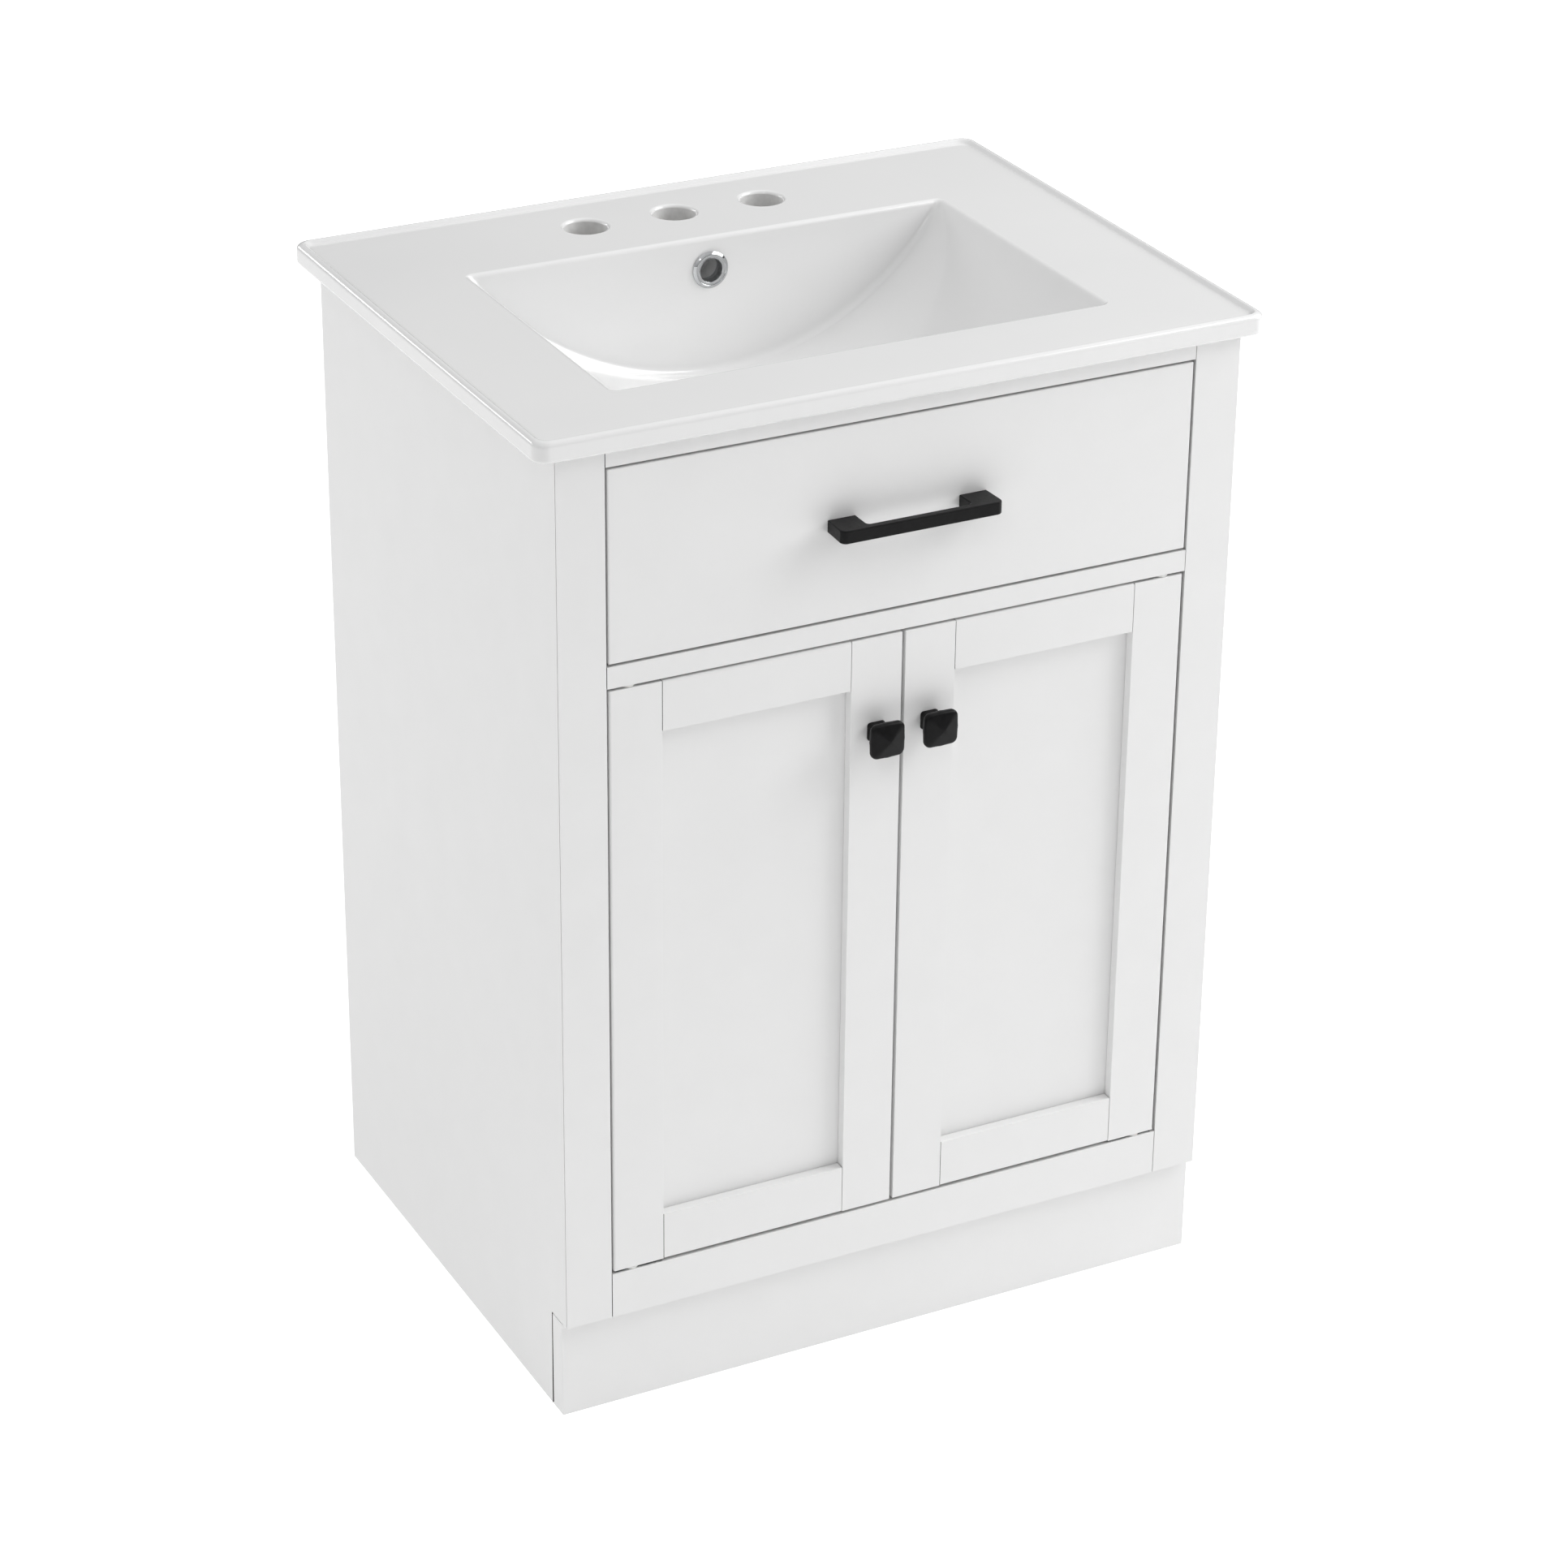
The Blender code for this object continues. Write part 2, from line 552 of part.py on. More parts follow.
def build_pull(body):
    """A flat bar pull: a bracket outline extruded upwards, with round outer corners."""
    half = PULL_LENGTH / 2
    foot = half - PULL_FOOT
    bar_back = -PULL_PROJECTION + PULL_BAR
    outline = [(half, -GAP), (foot, -GAP)]
    outline += arc((foot - 0.002, bar_back + 0.002), 0.002, 0, -90, 3)
    outline += arc((-foot + 0.002, bar_back + 0.002), 0.002, 270, 180, 3)
    outline += [(-foot, -GAP), (-half, -GAP)]
    outline += arc((-half + 0.004, -PULL_PROJECTION + 0.004), 0.004, 180, 270, 5)
    outline += arc((half - 0.004, -PULL_PROJECTION + 0.004), 0.004, 270, 360, 5)
    span = (PULL_Z - PULL_HEIGHT / 2, PULL_Z + PULL_HEIGHT / 2)
    pull = prism("drawer_pull", "black_metal", body, outline, "Z", span)
    for hand, side in (("left", -1), ("right", 1)):
        centre = (side * PULL_SCREW_PITCH / 2, 0, PULL_Z)
        socket = [(-SCREW_REACH - 0.0006, SCREW_RADIUS + GAP), (0.005, SCREW_RADIUS + GAP)]
        cut(pull, turned(f"{hand}_pull_cutter", "black_metal", body, centre, "Y", socket, 16))


def build_drawer_front(body):
    x = (-OPENING + DRAWER_GAP, OPENING - DRAWER_GAP)
    front = box("drawer_front", "white_paint", body, x, (0, BOARD), DRAWER_FRONT_Z)
    sub_back = BOARD + GAP + DRAWER_BOARD
    sub = box("drawer_sub_front", "birch_plywood", body, (-DRAWER_HALF, DRAWER_HALF),
              (BOARD + GAP, sub_back), (DRAWER_BOX[0], SUB_FRONT_TOP))
    for hand, side in (("left", -1), ("right", 1)):
        centre = (side * PULL_SCREW_PITCH / 2, 0, PULL_Z)
        screw_hole(front, f"{hand}_front_hole", body, centre, BOARD)
        screw_hole(sub, f"{hand}_sub_hole", body, centre, sub_back)
        screw(f"{hand}_pull_screw", body, centre, sub_back)
    return sub_back


def build_drawer(body):
    """A shallow box with a U-shaped notch that passes round the basin's waste."""
    finish = "birch_plywood"
    build_pull(body)
    sub_back = build_drawer_front(body)
    notch = NOTCH_HALF_WIDTH
    notch_outer = notch + DRAWER_BOARD
    inner = DRAWER_HALF - DRAWER_BOARD
    for hand, side in (("left", -1), ("right", 1)):
        box(f"drawer_{hand}_side", finish, body, sorted((side * inner, side * DRAWER_HALF)),
            (sub_back + GAP, DRAWER_BACK_Y), DRAWER_BOX)
        box(f"drawer_{hand}_back", finish, body, sorted((side * (notch_outer + GAP), side * (inner - GAP))),
            (DRAWER_BACK_Y - DRAWER_BOARD, DRAWER_BACK_Y), DRAWER_BOX)
        box(f"drawer_{hand}_notch_wall", finish, body, sorted((side * notch, side * notch_outer)),
            (NOTCH_FRONT_Y + GAP, DRAWER_BACK_Y), DRAWER_BOX)
    box("drawer_notch_front", finish, body, (-notch_outer, notch_outer),
        (NOTCH_FRONT_Y - DRAWER_BOARD, NOTCH_FRONT_Y), DRAWER_BOX)
    outline = [
        (-DRAWER_HALF, BOARD + GAP), (DRAWER_HALF, BOARD + GAP), (DRAWER_HALF, DRAWER_BACK_Y),
        (notch, DRAWER_BACK_Y), (notch, NOTCH_FRONT_Y), (-notch, NOTCH_FRONT_Y),
        (-notch, DRAWER_BACK_Y), (-DRAWER_HALF, DRAWER_BACK_Y),
    ]
    prism("drawer_bottom", finish, body, outline, "Z", (DRAWER_BOX[0] - 0.0063, DRAWER_BOX[0] - GAP))


def main():
    clear_scene()
    origin = empty("vanity_origin", None, (0, 0, 0))
    origin.location = (0, FRAME_SHIFT_Y, 0)
    cabinet = empty("cabinet_body", origin, (0, 0, 0))
    build_ceramic_top(cabinet)
    build_overflow_ring(cabinet)
    middle_rail, bottom_rail = build_face_frame(cabinet)
    build_carcass(cabinet)
    build_pivots(cabinet, middle_rail, bottom_rail)
    build_catch(cabinet)
    for hand, side in (("left", -1), ("right", 1)):
        pivot = (side * (DOOR_EDGE - PIVOT_INSET), PIVOT_FROM_FRONT, DOOR_Z[0])
        build_door(hand, side, empty(f"{hand}_door_pivot", cabinet, pivot))
    drawer = empty("drawer_body", cabinet, (0, 0, SLIDE_Z))
    middles = empty("slide_middle_body", cabinet, (0, 0, SLIDE_Z))
    build_slides(cabinet, middles, drawer)
    build_drawer(drawer)


main()
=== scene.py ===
import json
import math

import bmesh
import bpy
from mathutils import Matrix, Vector


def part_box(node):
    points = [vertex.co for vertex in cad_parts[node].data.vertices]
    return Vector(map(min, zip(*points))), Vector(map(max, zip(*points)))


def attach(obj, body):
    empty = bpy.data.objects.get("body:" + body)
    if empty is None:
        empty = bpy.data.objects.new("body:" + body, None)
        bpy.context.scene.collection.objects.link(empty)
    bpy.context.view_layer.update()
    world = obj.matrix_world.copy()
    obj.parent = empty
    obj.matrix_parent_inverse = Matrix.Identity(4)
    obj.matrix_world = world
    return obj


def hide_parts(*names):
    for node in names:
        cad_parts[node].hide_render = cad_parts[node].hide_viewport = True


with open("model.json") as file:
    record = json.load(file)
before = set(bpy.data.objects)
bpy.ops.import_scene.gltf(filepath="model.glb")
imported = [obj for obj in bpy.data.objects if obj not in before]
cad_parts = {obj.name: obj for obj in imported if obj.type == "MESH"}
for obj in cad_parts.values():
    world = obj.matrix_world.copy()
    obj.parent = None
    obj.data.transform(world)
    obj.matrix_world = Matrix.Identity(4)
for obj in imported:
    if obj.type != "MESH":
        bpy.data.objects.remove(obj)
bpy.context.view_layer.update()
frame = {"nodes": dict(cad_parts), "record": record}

NODES = frame["nodes"]
MM = 0.001
TINY = 1e-6

# ---------------------------------------------------------------- places read from the frame
TOP_LOW, TOP_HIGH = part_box("ceramic_top")
FRONT_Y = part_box("left_stile")[0].y
TOP_WIDTH = TOP_HIGH.x - TOP_LOW.x
RIM_Z = TOP_HIGH.z
DECK_Z = RIM_Z - 3 * MM
UNDERSIDE_Z = RIM_Z - 17 * MM
BOSS_Z = TOP_LOW.z

# The top's raised rim: corner radius in plan, outward bow of the sides, and section
RIM_CORNER = 11 * MM
RIM_BOW = 0.5 * MM
RIM_LOWER_ROUND = 3.5 * MM
RIM_CREST = 4.5 * MM
RIM_SLOPE = 4.5 * MM

# Basin, in the CAD's own sizes
ARC_RADIUS = 252 * MM
BASIN_DEPTH = 111 * MM
BASIN_FRONT = FRONT_Y + 67 * MM
BASIN_BACK = FRONT_Y + 339 * MM
BASIN_MID = FRONT_Y + 203 * MM
SIDE_LIP = 6 * MM
WALL_LIP = 4 * MM
WALL_FILLET = 7 * MM
WALL_DRAFT = math.radians(4)
PLAN_CORNER = 9 * MM
SHELL = 12 * MM
SHELL_BESIDE = 9 * MM
SHELL_FILLET = 15 * MM
DRAIN_RADIUS = 22.5 * MM
BOSS_RADIUS = 36 * MM
TAP_RADIUS = 17.5 * MM
TAP_LIP = 3 * MM
TAP_PITCH = 78.5 * MM
TAP_Y = TOP_HIGH.y - 61 * MM
OVERFLOW_Z = DECK_Z - 27 * MM

# The basin's grid: columns from side to side, each with points down a wall, over the floor and up
WALL_STEPS = 9
WALL_POINTS = 2 * (WALL_STEPS + 1)
FLOOR_ROWS = 20
HOLE_ROWS = (6, 14)
SQUARE_COLUMNS = 12
INNER_COLUMNS = 24
SIDE_COLUMNS = 18
SIDE_BAND = 22 * MM
DRAIN_SQUARE = 42 * MM

# ---------------------------------------------------------------- camera
# Fitted to the photo's viewing angle without a shift: metres, radians and a lens in millimetres
CAMERA_PLACE = Vector((-1.4928, FRONT_Y - 2.7014, 2.0482))
CAMERA_AZIMUTH = 0.4758
CAMERA_PITCH = 0.4650
CAMERA_ROLL = 0.0108
CAMERA_LENS = 103.25


def build_camera():
    """A camera in front, to the left and above, turned by its azimuth, pitch and roll."""
    data = bpy.data.cameras.new("camera")
    data.sensor_width = 36.0
    data.lens = CAMERA_LENS
    data.clip_start = 0.05
    data.clip_end = 50.0
    camera = bpy.data.objects.new("camera", data)
    bpy.context.scene.collection.objects.link(camera)
    flat = Vector((math.sin(CAMERA_AZIMUTH), math.cos(CAMERA_AZIMUTH), 0))
    forward = flat * math.cos(CAMERA_PITCH) - Vector((0, 0, math.sin(CAMERA_PITCH)))
    right = Vector((math.cos(CAMERA_AZIMUTH), -math.sin(CAMERA_AZIMUTH), 0))
    up = right.cross(forward)
    roll_right = right * math.cos(CAMERA_ROLL) + up * math.sin(CAMERA_ROLL)
    roll_up = up * math.cos(CAMERA_ROLL) - right * math.sin(CAMERA_ROLL)
    turn = Matrix((roll_right, roll_up, -forward)).transposed()
    camera.matrix_world = Matrix.Translation(CAMERA_PLACE) @ turn.to_4x4()
    bpy.context.scene.camera = camera


# ---------------------------------------------------------------- stage and light

# The dome's light from each side, and the floor's own light; the lamps' powers are in watts
DOME = {"left": 0.38, "front": 0.075, "back": 0.05, "top": 0.755}
DOME_AXES = {"left": (-1, 0, 0), "front": (0, -1, 0), "back": (0, 1, 0), "top": (0, 0, 1)}
FLOOR_GLOW = 0.32
FLOOR_GLOW_SEEN = 0.7
FLOOR_REACH = 9.0
KEY_POWER = 1.2
SOFTBOX_POWER = 73.0
FILL_POWER = 1.6
CREASE_POWER = 2.0
RIM_POWER = 15.0


def build_world():
    """A white studio. The eye sees pure white; the object is lit by a soft dome, uneven by side."""
    world = bpy.data.worlds.new("studio")
    bpy.context.scene.world = world
    world.use_nodes = True
    nodes = world.node_tree.nodes
    links = world.node_tree.links
    background = nodes["Background"]
    background.inputs["Color"].default_value = (1.0, 1.0, 1.0, 1.0)
    place = nodes.new("ShaderNodeTexCoord").outputs["Generated"]
    total = None
    for side, axis in DOME_AXES.items():
        facing = nodes.new("ShaderNodeVectorMath")
        facing.operation = "DOT_PRODUCT"
        facing.inputs[1].default_value = axis
        links.new(place, facing.inputs[0])
        lit = nodes.new("ShaderNodeMath")
        lit.operation = "MAXIMUM"
        lit.inputs[1].default_value = 0.0
        links.new(facing.outputs["Value"], lit.inputs[0])
        step = nodes.new("ShaderNodeMath")
        step.operation = "MULTIPLY_ADD"
        step.inputs[1].default_value = DOME[side]
        step.inputs[2].default_value = 0.0
        links.new(lit.outputs["Value"], step.inputs[0])
        if total:
            links.new(total, step.inputs[2])
        total = step.outputs["Value"]
    path = nodes.new("ShaderNodeLightPath")
    strength = nodes.new("ShaderNodeMapRange")
    strength.inputs["To Max"].default_value = 1.0
    links.new(path.outputs["Is Camera Ray"], strength.inputs["Value"])
    links.new(total, strength.inputs["To Min"])
    links.new(strength.outputs["Result"], background.inputs["Strength"])


def area_light(name, place, aim, size, power):
    """A rectangular lamp turned towards its aim; the camera doesn't see it."""
    data = bpy.data.lights.new(name, "AREA")
    data.shape = "RECTANGLE"
    data.size, data.size_y = size
    data.energy = power
    lamp = bpy.data.objects.new(name, data)
    bpy.context.scene.collection.objects.link(lamp)
    lamp.location = place
    lamp.visible_camera = False
    lamp.rotation_mode = "QUATERNION"
    lamp.rotation_quaternion = (Vector(aim) - Vector(place)).to_track_quat("-Z", "Y")


def build_lights():
    """Thin strips and a softbox on the right, a fill in front, and two for the top's highlights.

    The crease light shines in the fillets of the basin, the rim strip along the left rim's crest.
    """
    for i, y in enumerate((-1.05, -0.50, 0.05)):
        area_light(f"key_strip_{i}", (1.75, y, 1.75), (0, 0, 0.75), (0.05, 1.1), KEY_POWER)
    area_light("right_softbox", (2.5, -0.8, 2.5), (0, 0, 0.75), (2.6, 2.2), SOFTBOX_POWER)
    area_light("front_fill", (1.3, -1.7, 1.1), (0.1, 0, 0.5), (1.0, 1.2), FILL_POWER)
    area_light("crease_light", (-1.5, -1.8, 2.7), (0, 0, 0.8), (0.3, 0.3), CREASE_POWER)
    area_light("rim_strip", (-1.75, 2.4, 1.50), (0, 0, 0.8), (2.2, 0.60), RIM_POWER)


def build_floor():
    """A plain pale floor that glows a little, so that it looks as white as the studio."""
    mesh = bpy.data.meshes.new("studio_floor")
    corners = [(x * FLOOR_REACH, y * FLOOR_REACH, 0) for x, y in ((-1, -1), (1, -1), (1, 1), (-1, 1))]
    mesh.from_pydata(corners, [], [(0, 1, 2, 3)])
    floor = bpy.data.objects.new("studio_floor", mesh)
    bpy.context.scene.collection.objects.link(floor)
    material = bpy.data.materials.new("studio_floor")
    material.use_nodes = True
    nodes = material.node_tree.nodes
    links = material.node_tree.links
    shader = nodes["Principled BSDF"]
    shader.inputs["Base Color"].default_value = (0.8, 0.8, 0.8, 1)
    shader.inputs["Roughness"].default_value = 0.9
    shader.inputs["Emission Color"].default_value = (1, 1, 1, 1)
    path = nodes.new("ShaderNodeLightPath")
    glow = nodes.new("ShaderNodeMapRange")
    glow.inputs["To Min"].default_value = FLOOR_GLOW
    glow.inputs["To Max"].default_value = FLOOR_GLOW_SEEN
    links.new(path.outputs["Is Camera Ray"], glow.inputs["Value"])
    links.new(glow.outputs["Result"], shader.inputs["Emission Strength"])
    mesh.materials.append(material)


# ---------------------------------------------------------------- materials

class Nodes:
    """A small helper that adds and links shader nodes."""

    def __init__(self, name, roughness, metallic=0.0):
        self.material = bpy.data.materials.new(name)
        self.material.use_nodes = True
        self.tree = self.material.node_tree
        self.shader = self.tree.nodes["Principled BSDF"]
        self.shader.inputs["Roughness"].default_value = roughness
        self.shader.inputs["Metallic"].default_value = metallic
        self.place = self.tree.nodes.new("ShaderNodeTexCoord").outputs["Object"]

    def set(self, **sockets):
        """Set constant sockets of the shader."""
        for name, value in sockets.items():
            self.shader.inputs[name.replace("_", " ")].default_value = value

    def stretched(self, scale):
        """Object coordinates scaled by axis."""
        mapping = self.tree.nodes.new("ShaderNodeMapping")
        mapping.inputs["Scale"].default_value = scale
        self.tree.links.new(self.place, mapping.inputs["Vector"])
        return mapping.outputs["Vector"]

    def noise(self, scale, detail, vector=None, roughness=0.5):
        node = self.tree.nodes.new("ShaderNodeTexNoise")
        node.inputs["Scale"].default_value = scale
        node.inputs["Detail"].default_value = detail
        node.inputs["Roughness"].default_value = roughness
        self.tree.links.new(vector or self.place, node.inputs["Vector"])
        return node.outputs["Fac"]

    def ramp(self, value, stops):
        """Colours by value; each stop is (place, colour)."""
        node = self.tree.nodes.new("ShaderNodeValToRGB")
        elements = node.color_ramp.elements
        while len(elements) < len(stops):
            elements.new(0.5)
        for element, (place, colour) in zip(elements, stops):
            element.position = place
            element.color = (*colour, 1.0)
        self.tree.links.new(value, node.inputs["Fac"])
        return node.outputs["Color"]

    def colour(self, value, first, second, start=0.3, end=0.7):
        """Base colour between two tones, following a texture."""
        self.link(self.ramp(value, [(start, first), (end, second)]), "Base Color")

    def gloss(self, value, low, high):
        """Roughness between two values, following a texture."""
        node = self.tree.nodes.new("ShaderNodeMapRange")
        node.inputs["From Min"].default_value = 0.25
        node.inputs["From Max"].default_value = 0.75
        node.inputs["To Min"].default_value = low
        node.inputs["To Max"].default_value = high
        self.tree.links.new(value, node.inputs["Value"])
        self.link(node.outputs["Result"], "Roughness")

    def multiply(self, first, second, factor):
        """The first colour darkened by the second."""
        node = self.tree.nodes.new("ShaderNodeMix")
        node.data_type = "RGBA"
        node.blend_type = "MULTIPLY"
        node.inputs["Factor"].default_value = factor
        self.tree.links.new(first, node.inputs["A"])
        self.tree.links.new(second, node.inputs["B"])
        return node.outputs["Result"]

    def bump(self, layers):
        """Chain bumps: each layer is (height, strength, distance)."""
        normal = None
        for height, strength, distance in layers:
            node = self.tree.nodes.new("ShaderNodeBump")
            node.inputs["Strength"].default_value = strength
            node.inputs["Distance"].default_value = distance
            self.tree.links.new(height, node.inputs["Height"])
            if normal:
                self.tree.links.new(normal, node.inputs["Normal"])
            normal = node.outputs["Normal"]
        self.tree.links.new(normal, self.shader.inputs["Normal"])

    def link(self, value, socket):
        """Link a texture to one of the shader's sockets."""
        self.tree.links.new(value, self.shader.inputs[socket])


def white_paint():
    """Satin sprayed paint: faint orange peel, long soft waves and a little uneven gloss."""
    paint = Nodes("satin_white_paint", 0.36)
    paint.colour(paint.noise(24.0, 4.0), (0.838, 0.838, 0.836), (0.850, 0.850, 0.848))
    paint.gloss(paint.noise(38.0, 3.0), 0.34, 0.40)
    paint.bump([(paint.noise(1100.0, 2.0), 0.10, 0.00006), (paint.noise(90.0, 2.0), 0.06, 0.00006)])
    paint.set(Specular_IOR_Level=0.45)
    return paint.material


def ceramic_glaze():
    """Thick white glaze: mirror-like but very slightly wavy, with a faint tone shift."""
    glaze = Nodes("white_glaze", 0.07)
    glaze.colour(glaze.noise(5.0, 3.0), (0.835, 0.836, 0.836), (0.862, 0.862, 0.860))
    glaze.gloss(glaze.noise(60.0, 2.0), 0.03, 0.06)
    glaze.bump([(glaze.noise(14.0, 2.0), 0.10, 0.0004), (glaze.noise(260.0, 2.0), 0.03, 0.00005)])
    glaze.set(IOR=1.52, Coat_Weight=0.5, Coat_Roughness=0.04)
    return glaze.material


def unglazed_shaded_ceramic():
    """Fired clay where the glaze stops, inside the tap holes: drier and duller than the glaze, and darker
    as painted shade inside the holes.
    """
    clay = Nodes("unglazed_ceramic_painted_shade", 0.7)
    clay.colour(clay.noise(180.0, 4.0), (0.62, 0.62, 0.615), (0.70, 0.70, 0.695))
    clay.bump([(clay.noise(1400.0, 3.0), 0.25, 0.0001)])
    return clay.material


def black_powder_coat():
    """Satin black powder coat with a fine pebble and slightly worn, glossier spots."""
    coat = Nodes("black_powder_coat", 0.38)
    coat.colour(coat.noise(160.0, 4.0), (0.0020, 0.0020, 0.0022), (0.0050, 0.0050, 0.0055))
    coat.gloss(coat.noise(320.0, 2.0), 0.30, 0.42)
    coat.bump([(coat.noise(1900.0, 2.0), 0.16, 0.00006)])
    coat.set(Specular_IOR_Level=0.17)
    return coat.material


def chrome():
    """Polished chrome with a faint haze from wiping."""
    metal = Nodes("polished_chrome", 0.06, 1.0)
    metal.colour(metal.noise(45.0, 2.0), (0.52, 0.53, 0.54), (0.58, 0.59, 0.60))
    metal.gloss(metal.noise(220.0, 3.0), 0.04, 0.10)
    metal.bump([(metal.noise(90.0, 2.0), 0.06, 0.00006)])
    return metal.material


def zinc_steel():
    """Rolled and zinc-plated steel: streaks along its length and cloudy patches."""
    metal = Nodes("zinc_plated_steel", 0.30, 1.0)
    streaks = metal.noise(90.0, 4.0, metal.stretched((6.0, 0.35, 6.0)))
    metal.colour(metal.noise(60.0, 3.0), (0.50, 0.51, 0.53), (0.66, 0.67, 0.67))
    metal.gloss(streaks, 0.22, 0.40)
    metal.bump([(streaks, 0.15, 0.00005)])
    return metal.material


def white_melamine():
    """Matt white board with the fine pebbled texture of its pressed paper."""
    board = Nodes("white_melamine", 0.48)
    board.colour(board.noise(14.0, 5.0), (0.770, 0.770, 0.755), (0.815, 0.815, 0.800))
    board.gloss(board.noise(150.0, 3.0), 0.42, 0.55)
    board.bump([(board.noise(1500.0, 3.0), 0.25, 0.00008)])
    return board.material


def birch_face(name, along):
    """Birch veneer with its grain along one axis."""
    wood = Nodes(name, 0.42)
    scale = [9.0, 9.0, 9.0]
    scale["XYZ".index(along)] = 0.55
    stretched = wood.stretched(scale)
    grain = wood.noise(7.0, 6.0, stretched, 0.6)
    fibre = wood.noise(70.0, 4.0, stretched, 0.6)
    tones = [(0.32, (0.56, 0.39, 0.23)), (0.50, (0.68, 0.51, 0.33)), (0.72, (0.76, 0.60, 0.42))]
    fibres = [(0.35, (0.86, 0.82, 0.78)), (0.60, (1.0, 1.0, 1.0))]
    wood.link(wood.multiply(wood.ramp(grain, tones), wood.ramp(fibre, fibres), 0.8), "Base Color")
    wood.gloss(fibre, 0.36, 0.50)
    wood.bump([(fibre, 0.18, 0.00010)])
    return wood.material


def ply_edge(name, across):
    """The layered edge of plywood: thin plies across the board's thickness."""
    wood = Nodes(name, 0.60)
    scale = [0.15, 0.15, 0.15]
    scale["XYZ".index(across)] = 1.0
    layers = wood.tree.nodes.new("ShaderNodeTexWave")
    layers.bands_direction = across
    layers.inputs["Scale"].default_value = 150.0
    layers.inputs["Distortion"].default_value = 0.6
    layers.inputs["Detail"].default_value = 2.0
    wood.tree.links.new(wood.stretched(scale), layers.inputs["Vector"])
    bands = layers.outputs["Fac"]
    wood.colour(bands, (0.36, 0.23, 0.12), (0.70, 0.54, 0.36), 0.35, 0.65)
    wood.bump([(bands, 0.2, 0.00015)])
    return wood.material


def painted_shade_edge():
    """Painted shade for joints and the toe kick gap: near-black brown with fibrous noise, dark like the
    shadow inside a joint.
    """
    edge = Nodes("painted_shade_board_edge", 0.85)
    tone = edge.noise(500.0, 4.0)
    edge.colour(tone, (0.012, 0.010, 0.009), (0.035, 0.030, 0.026))
    edge.bump([(tone, 0.3, 0.0002)])
    return edge.material


def painted_gap_shade():
    """Painted shade on the edges that face a door or drawer: a grey, rougher paint than the fronts that
    darkens the gaps.
    """
    edge = Nodes("painted_gap_shade_coat", 0.6)
    edge.colour(edge.noise(120.0, 4.0), (0.58, 0.58, 0.575), (0.66, 0.66, 0.655))
    edge.bump([(edge.noise(900.0, 2.0), 0.15, 0.00008)])
    return edge.material


def white_nylon():
    """Moulded nylon: slightly cloudy, with a dull sheen."""
    plastic = Nodes("white_nylon", 0.45)
    plastic.colour(plastic.noise(80.0, 3.0), (0.74, 0.74, 0.71), (0.80, 0.80, 0.78))
    plastic.gloss(plastic.noise(300.0, 2.0), 0.38, 0.52)
    plastic.bump([(plastic.noise(900.0, 2.0), 0.15, 0.00006)])
    plastic.set(Subsurface_Weight=0.05, Subsurface_Scale=0.002)
    return plastic.material


def build_materials():
    return {
        "white_paint": white_paint(),
        "white_ceramic": ceramic_glaze(),
        # Unglazed clay, darkened as painted shade inside the tap holes
        "unglazed_shaded_ceramic": unglazed_shaded_ceramic(),
        "black_metal": black_powder_coat(),
        "chrome": chrome(),
        "zinc_steel": zinc_steel(),
        "white_melamine": white_melamine(),
        "white_nylon": white_nylon(),
        # Painted shade: near-black for the joints and the toe kick gap
        "painted_shade_edge": painted_shade_edge(),
        # Painted shade: grey for the edges around the doors and drawer
        "painted_gap_shade": painted_gap_shade(),
        "grain_x": birch_face("birch_grain_x", "X"),
        "grain_y": birch_face("birch_grain_y", "Y"),
        "ply_x": ply_edge("ply_edge_x", "X"),
        "ply_y": ply_edge("ply_edge_y", "Y"),
        "ply_z": ply_edge("ply_edge_z", "Z"),
    }


# ---------------------------------------------------------------- mesh helpers

def smooth(piece, degrees):
    """Smooth shading, with sharp edges above an angle."""
    piece.data.shade_smooth()
    piece.data.set_sharp_from_angle(angle=math.radians(degrees))


def weight_normals(piece, weight=50):
    """Let the broad faces lead the shading where they meet small ones."""
    normals = piece.modifiers.new("weighted_normals", "WEIGHTED_NORMAL")
    normals.keep_sharp = True
    normals.weight = weight


def bake(piece):
    """Keep the modified mesh and clear its modifiers."""
    depsgraph = bpy.context.evaluated_depsgraph_get()
    mesh = bpy.data.meshes.new_from_object(piece.evaluated_get(depsgraph))
    piece.modifiers.clear()
    piece.data = mesh


def piece_from(bm, name, materials):
    """Turn a bmesh into an object."""
    bmesh.ops.recalc_face_normals(bm, faces=bm.faces)
    mesh = bpy.data.meshes.new(name)
    bm.to_mesh(mesh)
    bm.free()
    piece = bpy.data.objects.new(name, mesh)
    bpy.context.scene.collection.objects.link(piece)
    for material in materials:
        mesh.materials.append(material)
    return piece


def body_of(node):
    """The moving body that holds a CAD node."""
    for body, members in frame["record"]["behaviour"]["bodies"].items():
        if node in members:
            return body
    raise KeyError(node)


def slot_of(node):
    """A CAD node's material slot."""
    for entry in frame["record"]["subparts"]:
        if entry["node"] == node:
            return entry["material_slot"]
    raise KeyError(node)


def stand_for(piece, node):
    """The piece takes a CAD node's place and body, and the node is hidden."""
    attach(piece, body_of(node))
    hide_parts(node)
    slot_of(node)


def arc(centre, radius, start, end, steps):
    """Points of an arc between two angles in degrees."""
    points = []
    for i in range(steps + 1):
        angle = math.radians(start + (end - start) * i / steps)
        points.append((centre[0] + radius * math.cos(angle), centre[1] + radius * math.sin(angle)))
    return points


def bridge(bm, first, second):
    """Quads between two closed loops of equal length."""
    count = len(first)
    for i in range(count):
        j = (i + 1) % count
        bm.faces.new((first[i], first[j], second[j], second[i]))


